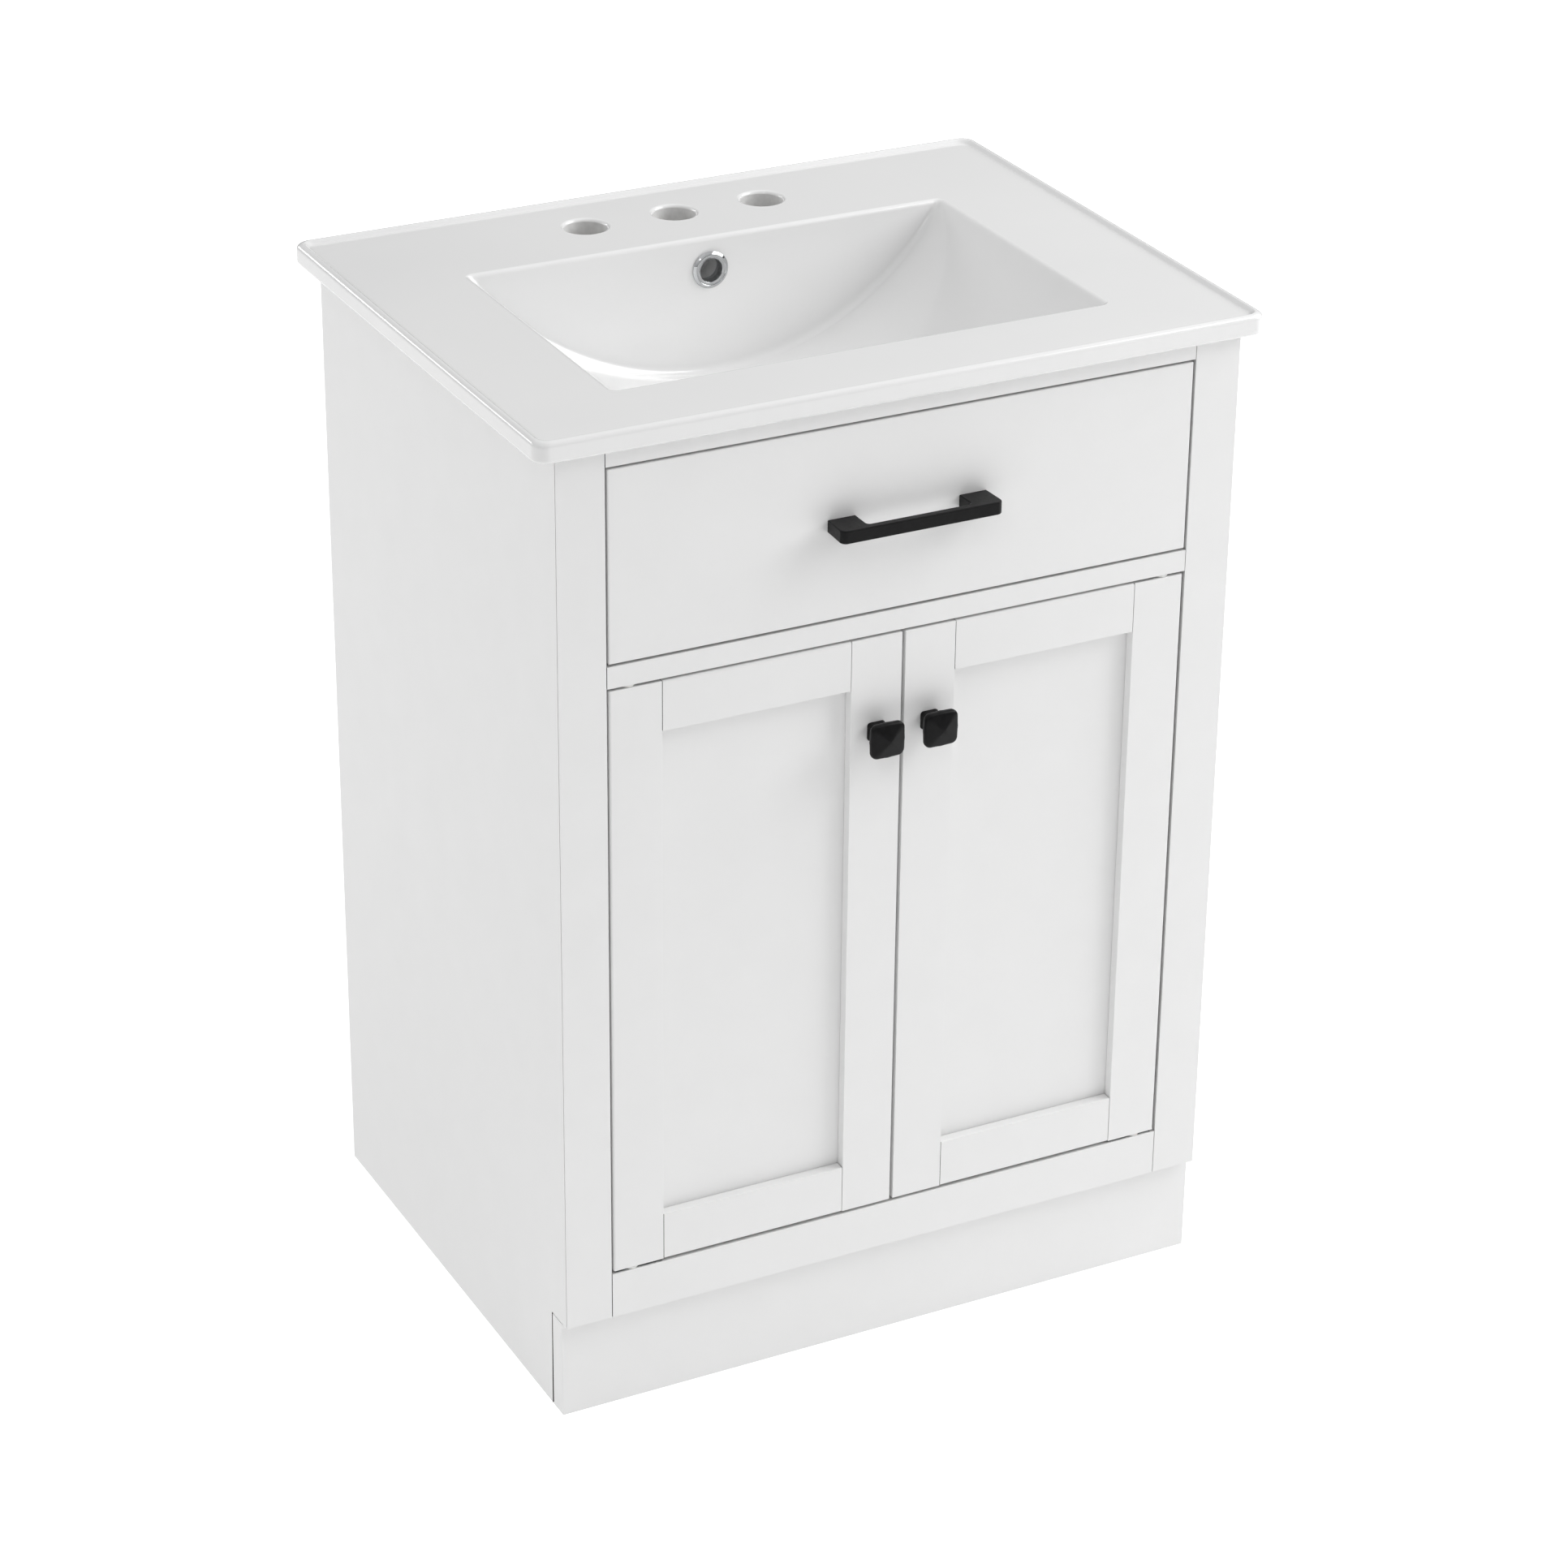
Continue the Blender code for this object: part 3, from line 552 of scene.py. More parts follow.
def loft_rings(bm, rings, capped=True):
    """Skin closed rings of points, with or without end faces; returns the rings' vertices."""
    loops = [[bm.verts.new(p) for p in ring] for ring in rings]
    for low, high in zip(loops, loops[1:]):
        bridge(bm, low, high)
    if capped:
        bm.faces.new(list(reversed(loops[0])))
        bm.faces.new(loops[-1])
    return loops


def rounded_outline(half_x, half_y, radius, corner_steps, side_steps):
    """Points of a rounded rectangle, anticlockwise from its lower right corner."""
    corners = []
    for sign_x, sign_y, start in ((1, -1, -90), (1, 1, 0), (-1, 1, 90), (-1, -1, 180)):
        centre = (sign_x * (half_x - radius), sign_y * (half_y - radius))
        corners.append(arc(centre, radius, start, start + 90, corner_steps))
    points = []
    for corner, following in zip(corners, corners[1:] + corners[:1]):
        points += corner
        (x, y), (next_x, next_y) = corner[-1], following[0]
        for i in range(1, side_steps):
            t = i / side_steps
            points.append((x + (next_x - x) * t, y + (next_y - y) * t))
    return points


# ---------------------------------------------------------------- ceramic top

def rounded_ring(half_x, half_y, centre_y, radius, z, bow):
    """Points of a rounded rectangle whose sides bow outwards a little."""
    ring = []
    for x, y in rounded_outline(half_x, half_y, radius, 10, 26):
        u, v = x / half_x, y / half_y
        ring.append((x - bow * u * v * v, centre_y + y - bow * 0.7 * v * u * u, z))
    return ring


def rim_profile():
    """(inset from the outer edge, height) from the underside, over the crest, to the deck."""
    path = []
    for i in range(7):
        a = math.pi / 2 * i / 6
        inset = RIM_LOWER_ROUND * (1 - math.sin(a))
        path.append((inset, UNDERSIDE_Z + RIM_LOWER_ROUND * (1 - math.cos(a))))
    for i in range(10):
        a = math.pi / 2 * i / 9
        path.append((RIM_CREST * (1 - math.cos(a)), RIM_Z - RIM_CREST + RIM_CREST * math.sin(a)))
    for i in range(1, 13):
        t = i / 12
        height = (RIM_Z - DECK_Z) * (0.5 + 0.5 * math.cos(math.pi * t))
        path.append((RIM_CREST + RIM_SLOPE * t, DECK_Z + height))
    return path


def basin_half_width():
    """Half the basin's width at the deck, where the side lips end."""
    rise = ARC_RADIUS - BASIN_DEPTH
    return math.sqrt((ARC_RADIUS + SIDE_LIP) ** 2 - (rise + SIDE_LIP) ** 2)


def floor_depth(x):
    """Depth of the basin's round floor below the deck, with its lip at each side."""
    lip_x = basin_half_width()
    tangent_x = lip_x * ARC_RADIUS / (ARC_RADIUS + SIDE_LIP)
    x = abs(x)
    if x >= lip_x:
        return 0.0
    if x > tangent_x:
        return SIDE_LIP - math.sqrt(SIDE_LIP ** 2 - (lip_x - x) ** 2)
    return math.sqrt(ARC_RADIUS ** 2 - x * x) - (ARC_RADIUS - BASIN_DEPTH)


def shell_height(x):
    """Height of the basin's round outer skin."""
    return DECK_Z + (ARC_RADIUS - BASIN_DEPTH) - math.sqrt((ARC_RADIUS + SHELL) ** 2 - x * x)


def wall_section(depth):
    """(inset, depth) from the deck, over the lip, down the wall and round into the floor."""
    steepest = math.pi / 2 - WALL_DRAFT
    if depth < (WALL_LIP + WALL_FILLET) * (1 - math.cos(steepest)):
        steepest = math.acos(max(-1.0, 1 - depth / (WALL_LIP + WALL_FILLET)))
    path = []
    for i in range(WALL_STEPS + 1):
        a = steepest * i / WALL_STEPS
        path.append((WALL_LIP * math.sin(a), WALL_LIP * (1 - math.cos(a))))
    wall_end = depth - WALL_FILLET * (1 - math.cos(steepest))
    slack = max(0.0, wall_end - path[-1][1])
    inset = path[-1][0] + slack * math.tan(WALL_DRAFT)
    centre = inset + WALL_FILLET * math.sin(steepest)
    for i in range(WALL_STEPS + 1):
        a = steepest * (1 - i / WALL_STEPS)
        path.append((centre - WALL_FILLET * math.sin(a), depth - WALL_FILLET * (1 - math.cos(a))))
    return path


def column_places(half):
    """Places of the basin's columns: even inside, closer together towards each side."""
    side = []
    for i in range(1, INNER_COLUMNS + 1):
        side.append(DRAIN_SQUARE + (half - SIDE_BAND - DRAIN_SQUARE) * i / INNER_COLUMNS)
    for i in range(1, SIDE_COLUMNS + 1):
        t = i / SIDE_COLUMNS
        side.append(half - SIDE_BAND * (1 - t) ** 1.35)
    middle = [DRAIN_SQUARE * (-1 + 2 * i / SQUARE_COLUMNS) for i in range(SQUARE_COLUMNS + 1)]
    return [-x for x in reversed(side)] + middle + side


def basin_columns():
    """Every column's points from the front lip, over the floor, to the back lip."""
    half = basin_half_width()
    columns = []
    for x in column_places(half):
        depth = floor_depth(x)
        beyond = max(0.0, abs(x) - (half - PLAN_CORNER))
        cut = PLAN_CORNER - math.sqrt(max(0.0, PLAN_CORNER ** 2 - beyond ** 2))
        path = wall_section(depth)
        front = [(x, BASIN_FRONT + cut + s, DECK_Z - d) for s, d in path]
        back = [(x, BASIN_BACK - cut - s, DECK_Z - d) for s, d in reversed(path)]
        columns.append(join_floor(x, front, back))
    return columns


def join_floor(x, front, back):
    """Fill the floor between a column's two walls, square to the drain in the middle rows."""
    start, end = front[-1][1], back[0][1]
    hole_start, hole_end = BASIN_MID - DRAIN_SQUARE, BASIN_MID + DRAIN_SQUARE
    low, high = HOLE_ROWS
    middle = []
    for i in range(1, FLOOR_ROWS):
        if i <= low:
            y = start + (hole_start - start) * i / low
        elif i < high:
            y = hole_start + (hole_end - hole_start) * (i - low) / (high - low)
        else:
            y = hole_end + (end - hole_end) * (i - high) / (FLOOR_ROWS - high)
        middle.append((x, y, front[-1][2]))
    return front + middle + back


def shell_columns():
    """The basin's outer skin below the top, as columns like those of the inner one."""
    start_depth = DECK_Z - UNDERSIDE_Z
    half = math.sqrt((ARC_RADIUS + SHELL) ** 2 - (ARC_RADIUS - BASIN_DEPTH + start_depth) ** 2)
    straight = 5
    round_steps = WALL_POINTS - 1 - straight
    columns = []
    for x in column_places(half):
        depth = DECK_Z - shell_height(x)
        fillet = max(0.0, min(SHELL_FILLET, (depth - start_depth) * 0.9))
        wall = depth - fillet - start_depth
        path = [(0.0, start_depth + wall * i / straight) for i in range(straight + 1)]
        for i in range(1, round_steps + 1):
            a = math.pi / 2 * i / round_steps
            path.append((fillet * (1 - math.cos(a)), depth - fillet + fillet * math.sin(a)))
        front = [(x, BASIN_FRONT - SHELL_BESIDE + s, DECK_Z - d) for s, d in path]
        back = [(x, BASIN_BACK + SHELL_BESIDE - s, DECK_Z - d) for s, d in reversed(path)]
        columns.append(join_floor(x, front, back))
    return columns


def patch(bm, columns):
    """Skin a grid of columns, leaving the drain's square open. Returns the square's loop."""
    grid = [[bm.verts.new(p) for p in column] for column in columns]
    middle = len(columns) // 2
    left, right = middle - SQUARE_COLUMNS // 2, middle + SQUARE_COLUMNS // 2
    first, last = (WALL_POINTS - 1 + row for row in HOLE_ROWS)
    for i in range(len(grid) - 1):
        for j in range(len(grid[0]) - 1):
            if left <= i < right and first <= j < last:
                continue
            bm.faces.new((grid[i][j], grid[i + 1][j], grid[i + 1][j + 1], grid[i][j + 1]))
    square = [grid[i][first] for i in range(left, right)]
    square += [grid[right][j] for j in range(first, last)]
    square += [grid[i][last] for i in range(right, left, -1)]
    square += [grid[left][j] for j in range(last, first, -1)]
    return square


def drain_rings(square, surface_z, circles):
    """Rings from the open square in to circles of (radius, drop below the surface).

    Shallow circles follow the curved surface; those dropped further are level.
    """
    shallow = 12 * MM
    blend_steps = 5
    first_radius = circles[0][0]
    angles = [math.atan2(v.co.y - BASIN_MID, v.co.x) for v in square]
    rings = []
    for k in range(1, blend_steps):
        t = k / blend_steps
        ring = []
        for v, angle in zip(square, angles):
            x = v.co.x * (1 - t) + first_radius * math.cos(angle) * t
            y = (v.co.y - BASIN_MID) * (1 - t) + first_radius * math.sin(angle) * t
            ring.append((x, BASIN_MID + y, surface_z(x)))
        rings.append(ring)
    for radius, drop in circles:
        ring = []
        for angle in angles:
            x = radius * math.cos(angle)
            surface = surface_z(x) if drop <= shallow else DECK_Z - BASIN_DEPTH
            ring.append((x, BASIN_MID + radius * math.sin(angle), surface - drop))
        rings.append(ring)
    return rings


def add_rings(bm, start, rings):
    """Bridge on from a loop of vertices through rings of points; returns the last loop."""
    loop = start
    for ring in rings:
        following = [bm.verts.new(p) for p in ring]
        bridge(bm, loop, following)
        loop = following
    return loop


def fill_flat(bm, z):
    """Triangulate the flat region at one height, inside its outer loop and around the holes."""
    edges = [e for e in bm.edges if e.is_boundary and all(abs(v.co.z - z) < TINY for v in e.verts)]
    bmesh.ops.triangle_fill(bm, edges=edges, use_beauty=True, normal=(0, 0, 1))


def lip_section(radius, lip, drop, steps):
    """(radius, drop) over the rounded lip of a hole."""
    path = []
    for i in range(steps + 1):
        a = math.pi / 2 * i / steps
        path.append((radius + lip * (1 - math.sin(a)), drop + lip * (1 - math.cos(a))))
    return path


def tap_rings(centre_x):
    """Rings from the deck, over the hole's soft lip and down its wall."""
    through = DECK_Z - UNDERSIDE_Z
    path = lip_section(TAP_RADIUS, TAP_LIP, 0.0, 7)
    path += [(TAP_RADIUS - 0.3 * MM, through - 1.0 * MM), (TAP_RADIUS + 0.6 * MM, through)]
    rings = []
    for radius, drop in path:
        ring = arc((centre_x, TAP_Y), radius, 0, 360, 56)[:-1]
        rings.append([(x, y, DECK_Z - drop) for x, y in ring])
    return rings


def drain_circles():
    """(radius, drop) from the basin's floor, down the drain and round the boss below it."""
    lip = 4 * MM
    circles = [(33 * MM, 0.0), (31 * MM, 0.1 * MM), (29.5 * MM, 0.6 * MM), (28 * MM, 1.3 * MM)]
    circles += lip_section(DRAIN_RADIUS, lip, 1.6 * MM, 6)
    boss_drop = DECK_Z - BASIN_DEPTH - BOSS_Z
    circles += [
        (DRAIN_RADIUS, boss_drop - 1 * MM), (DRAIN_RADIUS + 1 * MM, boss_drop),
        (BOSS_RADIUS - 1.5 * MM, boss_drop), (BOSS_RADIUS, boss_drop - 1.5 * MM),
        (BOSS_RADIUS, SHELL + 3 * MM),
    ]
    return circles


def build_ceramic_top(materials):
    """The one-piece top: rim, deck, tap holes, basin, drain, boss and overflow."""
    bm = bmesh.new()
    centre_y = (TOP_LOW.y + TOP_HIGH.y) / 2
    half_x, half_y = TOP_WIDTH / 2, (TOP_HIGH.y - TOP_LOW.y) / 2
    rings = []
    for inset, z in rim_profile():
        radius = RIM_CORNER - 0.3 * inset
        rings.append(rounded_ring(half_x - inset, half_y - inset, centre_y, radius, z, RIM_BOW))
    loft_rings(bm, rings, capped=False)
    square = patch(bm, basin_columns())
    under_square = patch(bm, shell_columns())
    for i in (-1, 0, 1):
        loft_rings(bm, tap_rings(i * TAP_PITCH), capped=False)
    throat = add_rings(bm, square, drain_rings(square, lambda x: DECK_Z - floor_depth(x), drain_circles()))
    skin = drain_rings(under_square, shell_height, [(BOSS_RADIUS + 2.5 * MM, 0.0)])
    collar = add_rings(bm, under_square, skin)
    bridge(bm, collar, throat)
    bmesh.ops.remove_doubles(bm, verts=bm.verts, dist=TINY)
    bmesh.ops.dissolve_degenerate(bm, edges=bm.edges, dist=TINY)
    fill_flat(bm, DECK_Z)
    fill_flat(bm, UNDERSIDE_Z)
    piece = piece_from(bm, "ceramic_top_glazed", [materials["white_ceramic"]])
    cut_overflow(piece)
    piece.data.materials.clear()
    piece.data.materials.append(materials["white_ceramic"])
    # The tap holes' walls: unglazed clay, darkened as painted shade
    shade_faces(piece, materials["unglazed_shaded_ceramic"], in_tap_hole)
    smooth(piece, 50)
    weight_normals(piece, 80)
    stand_for(piece, "ceramic_top")


def boolean(piece, other, operation):
    """Apply an exact Boolean and delete the other shape."""
    step = piece.modifiers.new("step", "BOOLEAN")
    step.operation = operation
    step.solver = "EXACT"
    step.object = other
    bake(piece)
    bpy.data.objects.remove(other, do_unlink=True)


def overflow_duct():
    """An L-shaped duct with rounded edges, from behind the basin to below it."""
    low = DECK_Z - BASIN_DEPTH - SHELL
    outline = [
        (BASIN_MID + 30 * MM, low - 12 * MM), (BASIN_BACK + 33 * MM, low - 12 * MM),
        (BASIN_BACK + 33 * MM, UNDERSIDE_Z + 5 * MM), (BASIN_BACK + 4 * MM, UNDERSIDE_Z + 5 * MM),
        (BASIN_BACK + 4 * MM, low + 8 * MM), (BASIN_MID + 30 * MM, low + 8 * MM),
    ]
    bm = bmesh.new()
    loft_rings(bm, [[(x, y, z) for y, z in outline] for x in (-28 * MM, 28 * MM)])
    bmesh.ops.recalc_face_normals(bm, faces=bm.faces)
    bmesh.ops.bevel(bm, geom=list(bm.edges), offset=4 * MM, segments=4, profile=0.5, affect="EDGES")
    return piece_from(bm, "duct", [])


def overflow_bore():
    """A cylinder through the basin's back wall into the duct."""
    bm = bmesh.new()
    circle = arc((0, OVERFLOW_Z), 12 * MM, 0, 360, 48)[:-1]
    loft_rings(bm, [[(x, BASIN_BACK + y, z) for x, z in circle] for y in (-12 * MM, 22 * MM)])
    return piece_from(bm, "bore", [])


def cut_overflow(piece):
    """Add the overflow's cast duct, then its hole in the back wall."""
    boolean(piece, overflow_duct(), "UNION")
    boolean(piece, overflow_bore(), "DIFFERENCE")


def in_tap_hole(face):
    """True for the wall of a tap hole below its glazed lip."""
    if not UNDERSIDE_Z - 1 * MM < face.center.z < DECK_Z - TAP_LIP * 0.7:
        return False
    reach = min(math.hypot(face.center.x - i * TAP_PITCH, face.center.y - TAP_Y) for i in (-1, 0, 1))
    return reach < TAP_RADIUS + 1 * MM and abs(face.normal.z) < 0.9


# ---------------------------------------------------------------- overflow ring

RING_SECTION = (
    (-0.2, 15.2), (-0.4, 15.5), (-0.8, 15.5), (-1.1, 15.3), (-2.5, 13.6), (-2.75, 13.2),
    (-2.7, 12.8), (-2.3, 12.6), (-2.15, 12.4), (-2.1, 10.7), (-2.3, 10.4), (-2.35, 10.1),
    (-2.1, 9.85), (-1.7, 9.7), (8.6, 9.7), (9.0, 10.2), (9.0, 11.5), (-0.2, 11.5),
)


def build_overflow_ring(materials):
    """Chrome ring: a rolled outer flange, a fine step and a sleeve into the wall.

    Its closed section is (distance into the wall, radius) in millimetres, turned about Y.
    """
    lean = (DECK_Z - OVERFLOW_Z - WALL_LIP) * math.tan(WALL_DRAFT)
    wall = BASIN_BACK - WALL_LIP - lean
    bm = bmesh.new()
    rings = []
    for level, radius in RING_SECTION:
        circle = arc((0, 0), radius * MM, 0, 360, 72)[:-1]
        rings.append([(x, wall + level * MM, OVERFLOW_Z + z) for z, x in circle])
    loops = loft_rings(bm, rings, capped=False)
    bridge(bm, loops[-1], loops[0])
    ring = piece_from(bm, "overflow_ring_polished", [materials["chrome"]])
    smooth(ring, 40)
    stand_for(ring, "overflow_ring")


# ---------------------------------------------------------------- boards

PAINTED_FRAME = ("left_stile", "right_stile", "toe_kick", "left_side_panel", "right_side_panel")
FRAME_RAILS = ("top_rail", "middle_rail", "bottom_rail")
MELAMINE = (
    "bottom_panel", "upper_back_rail", "lower_back_rail", "left_runner_cleat", "right_runner_cleat",
)
DOOR_BOARDS = ("hinge_stile", "lock_stile", "top_rail", "bottom_rail")
SHARP_ANGLE = math.radians(30)
BOARD_EASE = 0.35 * MM
BORDER_EASE = 1.8 * MM
DRAWER_BORDER_EASE = 1.1 * MM
RAIL_END_GAP = 0.3 * MM
TOE_GAP_SHIFT = 1.1 * MM


def welded(node):
    """A bmesh of a CAD node with its corners joined and its flat faces whole."""
    bm = bmesh.new()
    bm.from_mesh(NODES[node].data)
    bmesh.ops.remove_doubles(bm, verts=bm.verts, dist=0.01 * MM)
    bmesh.ops.dissolve_limit(bm, angle_limit=math.radians(1), verts=bm.verts, edges=bm.edges)
    return bm


def eased(node, width, material, suffix="eased", segments=3, wide=None):
    """A CAD node with its sharp edges eased.

    wide = (picks an edge, its own width) is for a board with rounder edges along one outline.
    """
    bm = welded(node)
    weight = bm.edges.layers.float.new("bevel_weight_edge")
    sharp = [e for e in bm.edges if len(e.link_faces) == 2 and e.calc_face_angle(0) > SHARP_ANGLE]
    if wide:
        picks, wide_width = wide
        for e in sharp:
            e[weight] = 1.0 if picks(e) else width / wide_width
    else:
        bmesh.ops.bevel(bm, geom=sharp, offset=width, segments=segments, profile=0.5,
                        affect="EDGES", clamp_overlap=True)
    piece = piece_from(bm, f"{node}_{suffix}", [material])
    if wide:
        bevel = piece.modifiers.new("bevel", "BEVEL")
        bevel.limit_method = "WEIGHT"
        bevel.width = wide_width
        bevel.segments = 4
        bake(piece)
    smooth(piece, 30)
    weight_normals(piece)
    stand_for(piece, node)
    return piece


def shade_faces(piece, material, test):
    """Give the faces that pass the test another material."""
    piece.data.materials.append(material)
    index = len(piece.data.materials) - 1
    for face in piece.data.polygons:
        if test(face):
            face.material_index = index


def shadow_ends(piece, node, material):
    """A rail's glued ends stand back a hair and are painted near-black as painted shade, so its joints
    read as fine dark lines.
    """
    low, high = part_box(node)
    for vert in piece.data.vertices:
        if vert.co.x < low.x + 0.1 * MM:
            vert.co.x += RAIL_END_GAP
        elif vert.co.x > high.x - 0.1 * MM:
            vert.co.x -= RAIL_END_GAP
    shade_faces(piece, material, lambda face: abs(face.normal.x) > 0.9)


def on_border(low, high):
    """Picks the edges along the front outline of a door or drawer front."""
    def picks(edge):
        ends = [v.co for v in edge.verts]
        if any(abs(p.y - FRONT_Y) > 0.2 * MM for p in ends):
            return False
        for axis in (0, 2):
            for limit in (low[axis], high[axis]):
                if all(abs(p[axis] - limit) < 0.4 * MM for p in ends):
                    return True
        return False
    return picks


def build_frame(materials):
    """Painted stiles, rails, sides and toe kick; edges that face an opening are painted grey, and rail
    ends and the sides' notches near-black, as painted shade.
    """
    paint, joint_shade, gap_shade = materials["white_paint"], materials["painted_shade_edge"], materials["painted_gap_shade"]
    for node in PAINTED_FRAME:
        piece = eased(node, BOARD_EASE, paint)
        if node.endswith("stile"):
            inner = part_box(node)[1].x if node.startswith("left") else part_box(node)[0].x
            # The edge facing the opening is painted grey: painted shade in the gap
            shade_faces(piece, gap_shade, lambda face: abs(face.center.x - inner) < 0.05 * MM)
        if node.endswith("side_panel"):
            # The notch's edge is painted near-black: painted shade in the toe kick gap
            open_toe_gap(piece, joint_shade)
    for node in FRAME_RAILS:
        piece = eased(node, BOARD_EASE, paint)
        # The rail ends are painted near-black: painted shade in the joints
        shadow_ends(piece, node, joint_shade)
        # The edges facing the openings are painted grey: painted shade in the gaps
        shade_faces(piece, gap_shade, lambda face: abs(face.normal.z) > 0.9 and face.center.z > 0.1)
    for node in MELAMINE:
        eased(node, 0.4 * MM, materials["white_melamine"])


def build_fronts(materials):
    """The drawer front and the two shaker doors."""
    paint, joint_shade = materials["white_paint"], materials["painted_shade_edge"]
    border = on_border(*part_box("drawer_front"))
    eased("drawer_front", 0.5 * MM, paint, wide=(border, DRAWER_BORDER_EASE))
    for hand in ("left", "right"):
        boxes = [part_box(f"{hand}_door_{part}") for part in DOOR_BOARDS]
        low = [min(box[0][i] for box in boxes) for i in range(3)]
        high = [max(box[1][i] for box in boxes) for i in range(3)]
        for part in DOOR_BOARDS:
            node = f"{hand}_door_{part}"
            piece = eased(node, BOARD_EASE, paint, wide=(on_border(low, high), BORDER_EASE))
            if part.endswith("rail"):
                # The rail ends are painted near-black: painted shade in the joints
                shadow_ends(piece, node, joint_shade)
        eased(f"{hand}_door_panel", 0.3 * MM, paint)


def open_toe_gap(piece, material):
    """The side's notch stands a little behind the toe kick board, and its edge is painted near-black as
    painted shade in the gap.
    """
    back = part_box("toe_kick")[1].y
    notch_top = 85.9 * MM
    for vert in piece.data.vertices:
        if vert.co.z < notch_top and back < vert.co.y < back + 3 * MM:
            vert.co.y += TOE_GAP_SHIFT

    def on_notch(face):
        return face.normal.y < -0.5 and back < face.center.y < back + 4 * MM

    shade_faces(piece, material, on_notch)


PLYWOOD = {
    "drawer_sub_front": ("grain_x", "Y"),
    "drawer_left_back": ("grain_x", "Y"),
    "drawer_right_back": ("grain_x", "Y"),
    "drawer_notch_front": ("grain_x", "Y"),
    "drawer_left_side": ("grain_y", "X"),
    "drawer_right_side": ("grain_y", "X"),
    "drawer_left_notch_wall": ("grain_y", "X"),
    "drawer_right_notch_wall": ("grain_y", "X"),
    "drawer_bottom": ("grain_y", "Z"),
}


def build_plywood(materials):
    """Drawer boards: veneer on the broad faces, layered plies on the edges."""
    for node, (grain, across) in PLYWOOD.items():
        piece = eased(node, 0.5 * MM, materials[grain])
        piece.data.materials.append(materials[f"ply_{across.lower()}"])
        axis = "XYZ".index(across)
        for face in piece.data.polygons:
            face.material_index = 0 if abs(face.normal[axis]) > 0.9 else 1


# ---------------------------------------------------------------- handles

def rounded_square(half, radius, bulge):
    """A square outline with round corners and sides that swell out a little."""
    outline = []
    for x, y in rounded_outline(half, half, radius, 6, 6):
        swell = bulge * (1 - min(1.0, abs(x * y) / (half * half)) ** 0.5)
        size = max(abs(x), abs(y))
        outline.append((x * (1 + swell / size), y * (1 + swell / size)))
    return outline


def knob_rings():
    """(distance out from the door, half width, corner radius, side bulge), in millimetres."""
    rings = [
        (0.3, 7.5, 2.6, 0.0), (0.9, 7.6, 2.6, 0.0), (1.5, 7.3, 2.5, 0.0), (6.0, 7.1, 2.4, 0.0),
        (12.3, 7.2, 2.4, 0.0), (13.4, 7.7, 2.5, 0.1), (14.4, 9.0, 3.0, 0.2), (15.2, 11.2, 3.8, 0.4),
        (15.9, 12.9, 4.4, 0.5), (16.7, 13.7, 4.8, 0.6), (17.9, 14.0, 5.0, 0.5), (19.4, 14.0, 5.0, 0.5),
        (20.4, 13.8, 4.9, 0.5), (21.1, 13.3, 4.6, 0.5), (21.5, 12.7, 4.3, 0.45), (21.7, 12.2, 4.0, 0.4),
    ]
    apex, edge, half_edge = 25.4, 21.8, 12.0
    for half in (11.5, 10.0, 8.0, 6.0, 4.0, 2.4, 1.2, 0.5):
        height = edge + (apex - edge) * (1 - half / half_edge)
        soften = 0.35 * math.exp(-half / 1.2)
        rings.append((height - soften, half, half * 0.30, 0.35 * half / half_edge))
    return rings


def build_knob(hand, materials):
    """A square pillow knob on a square neck, with a low pyramid face."""
    low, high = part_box(f"{hand}_door_knob")
    centre_x, centre_z = (low.x + high.x) / 2, (low.z + high.z) / 2
    bm = bmesh.new()
    rings = []
    for out, half, radius, bulge in knob_rings():
        outline = rounded_square(half * MM, radius * MM, bulge * MM)
        rings.append([(centre_x + a, FRONT_Y - out * MM, centre_z + b) for a, b in outline])
    loft_rings(bm, rings)
    knob = piece_from(bm, f"{hand}_door_knob_coated", [materials["black_metal"]])
    smooth(knob, 60)
    stand_for(knob, f"{hand}_door_knob")


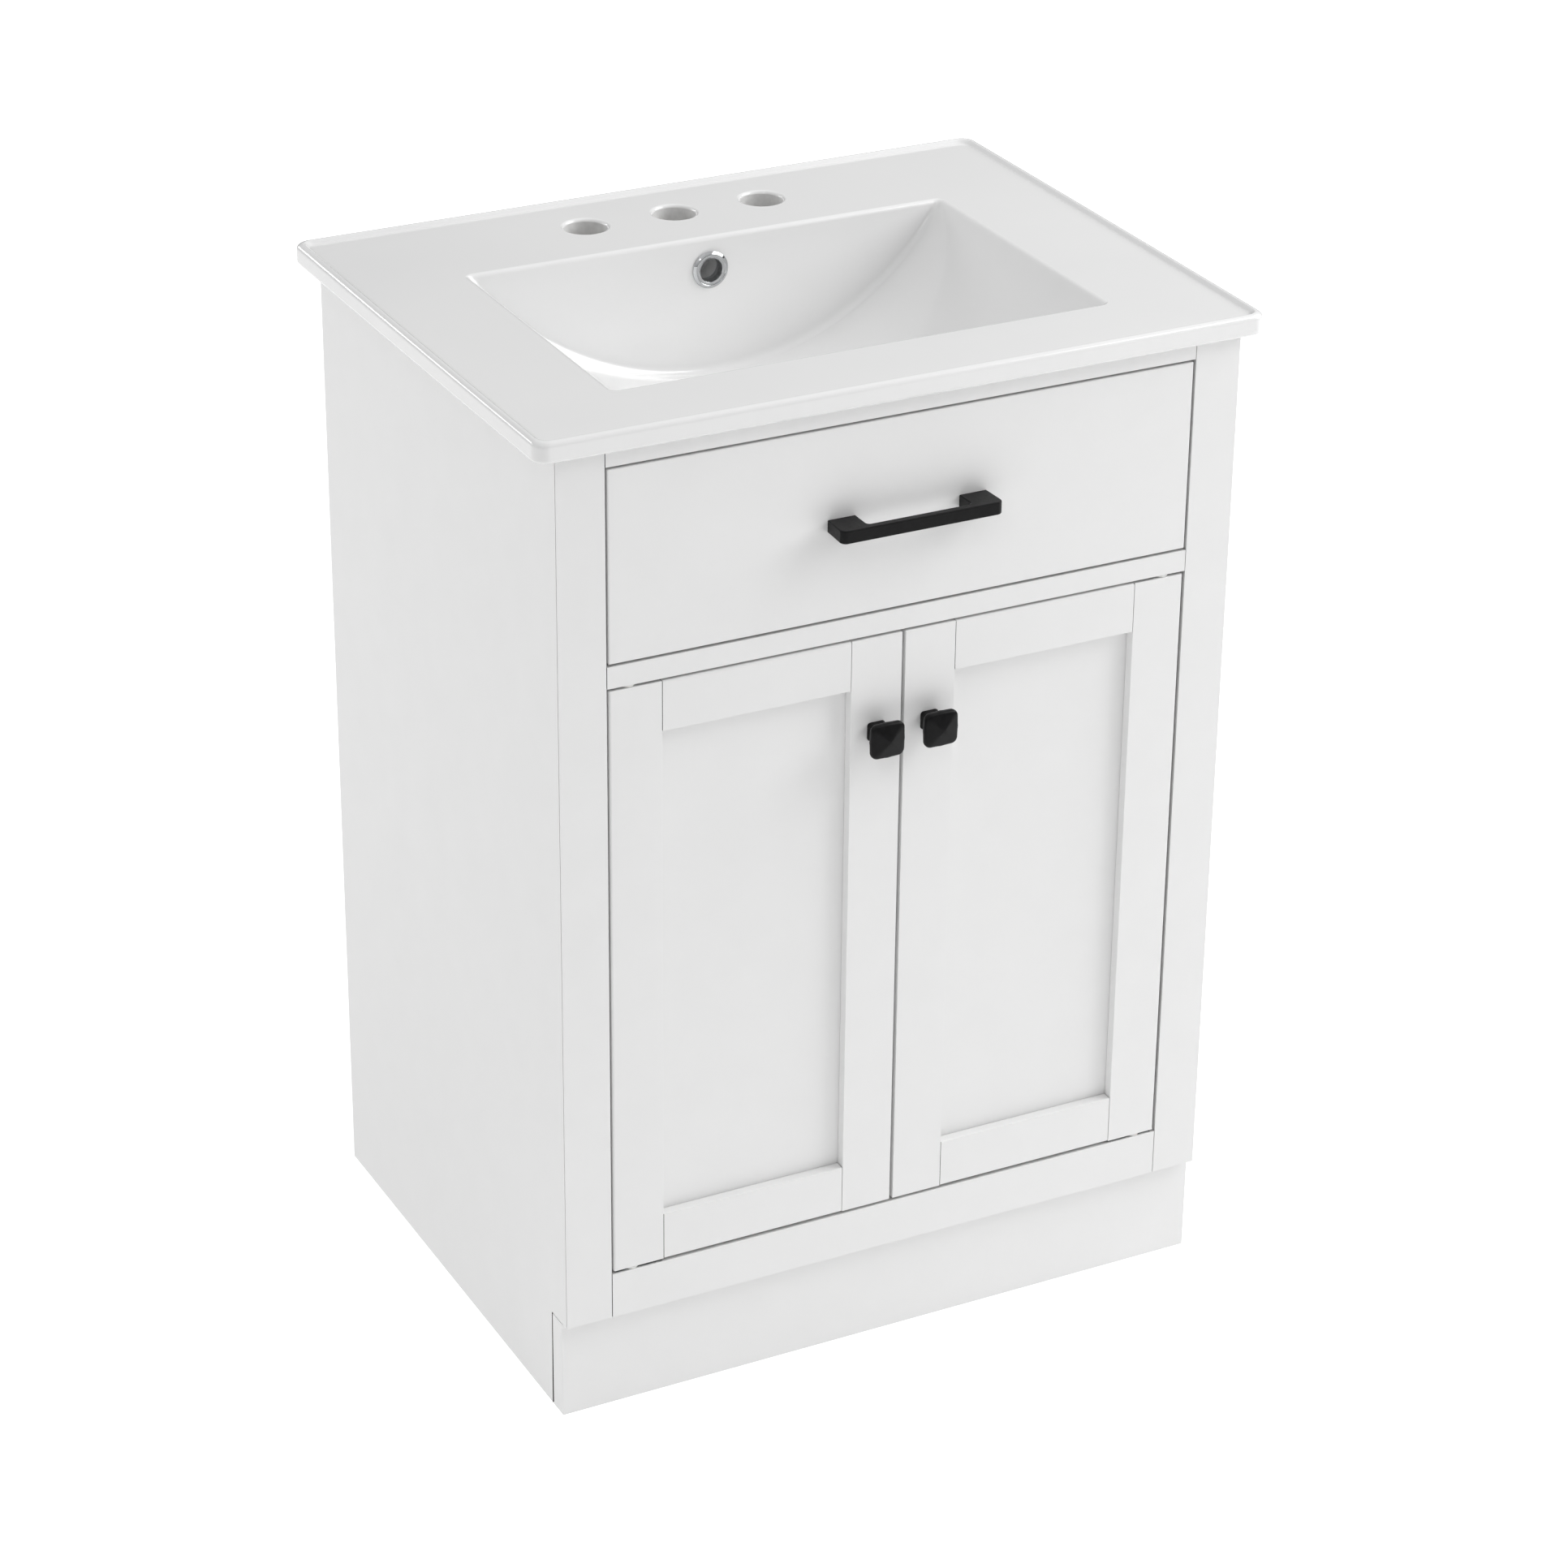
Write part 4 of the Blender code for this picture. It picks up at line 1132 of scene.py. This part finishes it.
def build_pull(materials):
    """The drawer's bar pull, with round outer corners, inner fillets and softened edges."""
    foot_length, bar_depth = 24 * MM, 6.5 * MM
    fillet, corner, foot_gap = 3 * MM, 5 * MM, 1.0 * MM
    low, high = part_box("drawer_pull")
    half = (high.x - low.x) / 2
    foot = half - foot_length
    front = low.y
    back = front + bar_depth
    face = FRONT_Y - 0.3 * MM
    outline = [(half - foot_gap, face), (foot, face)]
    outline += arc((foot - fillet, back + fillet), fillet, 0, -90, 8)
    outline += arc((-foot + fillet, back + fillet), fillet, 270, 180, 8)
    outline += [(-foot, face), (-half + foot_gap, face)]
    outline += arc((-half + corner, front + corner), corner, 180, 270, 10)
    outline += arc((half - corner, front + corner), corner, 270, 360, 10)
    bm = bmesh.new()
    loft_rings(bm, [[(x, y, z) for x, y in outline] for z in (low.z, high.z)])
    bmesh.ops.recalc_face_normals(bm, faces=bm.faces)
    rims = [e for e in bm.edges if abs(e.verts[0].co.z - e.verts[1].co.z) < TINY]
    bmesh.ops.bevel(bm, geom=rims, offset=1.1 * MM, segments=4, profile=0.5, affect="EDGES")
    pull = piece_from(bm, "drawer_pull_coated", [materials["black_metal"]])
    smooth(pull, 40)
    weight_normals(pull)
    stand_for(pull, "drawer_pull")


# ---------------------------------------------------------------- hardware

def build_hardware(materials):
    """Steel and plastic fittings keep their CAD shapes with eased edges."""
    for node in sorted(NODES):
        slot = slot_of(node)
        if slot == "zinc_steel":
            eased(node, 0.25 * MM, materials["zinc_steel"], "plated", 2)
        elif slot == "white_nylon":
            eased(node, 0.4 * MM, materials["white_nylon"], "moulded", 2)


# ---------------------------------------------------------------- all together


bpy.context.scene.view_settings.view_transform = "Standard"
build_camera()
build_world()
build_lights()
build_floor()
MATERIALS = build_materials()
build_ceramic_top(MATERIALS)
build_overflow_ring(MATERIALS)
build_frame(MATERIALS)
build_fronts(MATERIALS)
build_plywood(MATERIALS)
build_knob("left", MATERIALS)
build_knob("right", MATERIALS)
build_pull(MATERIALS)
build_hardware(MATERIALS)
bpy.context.view_layer.update()
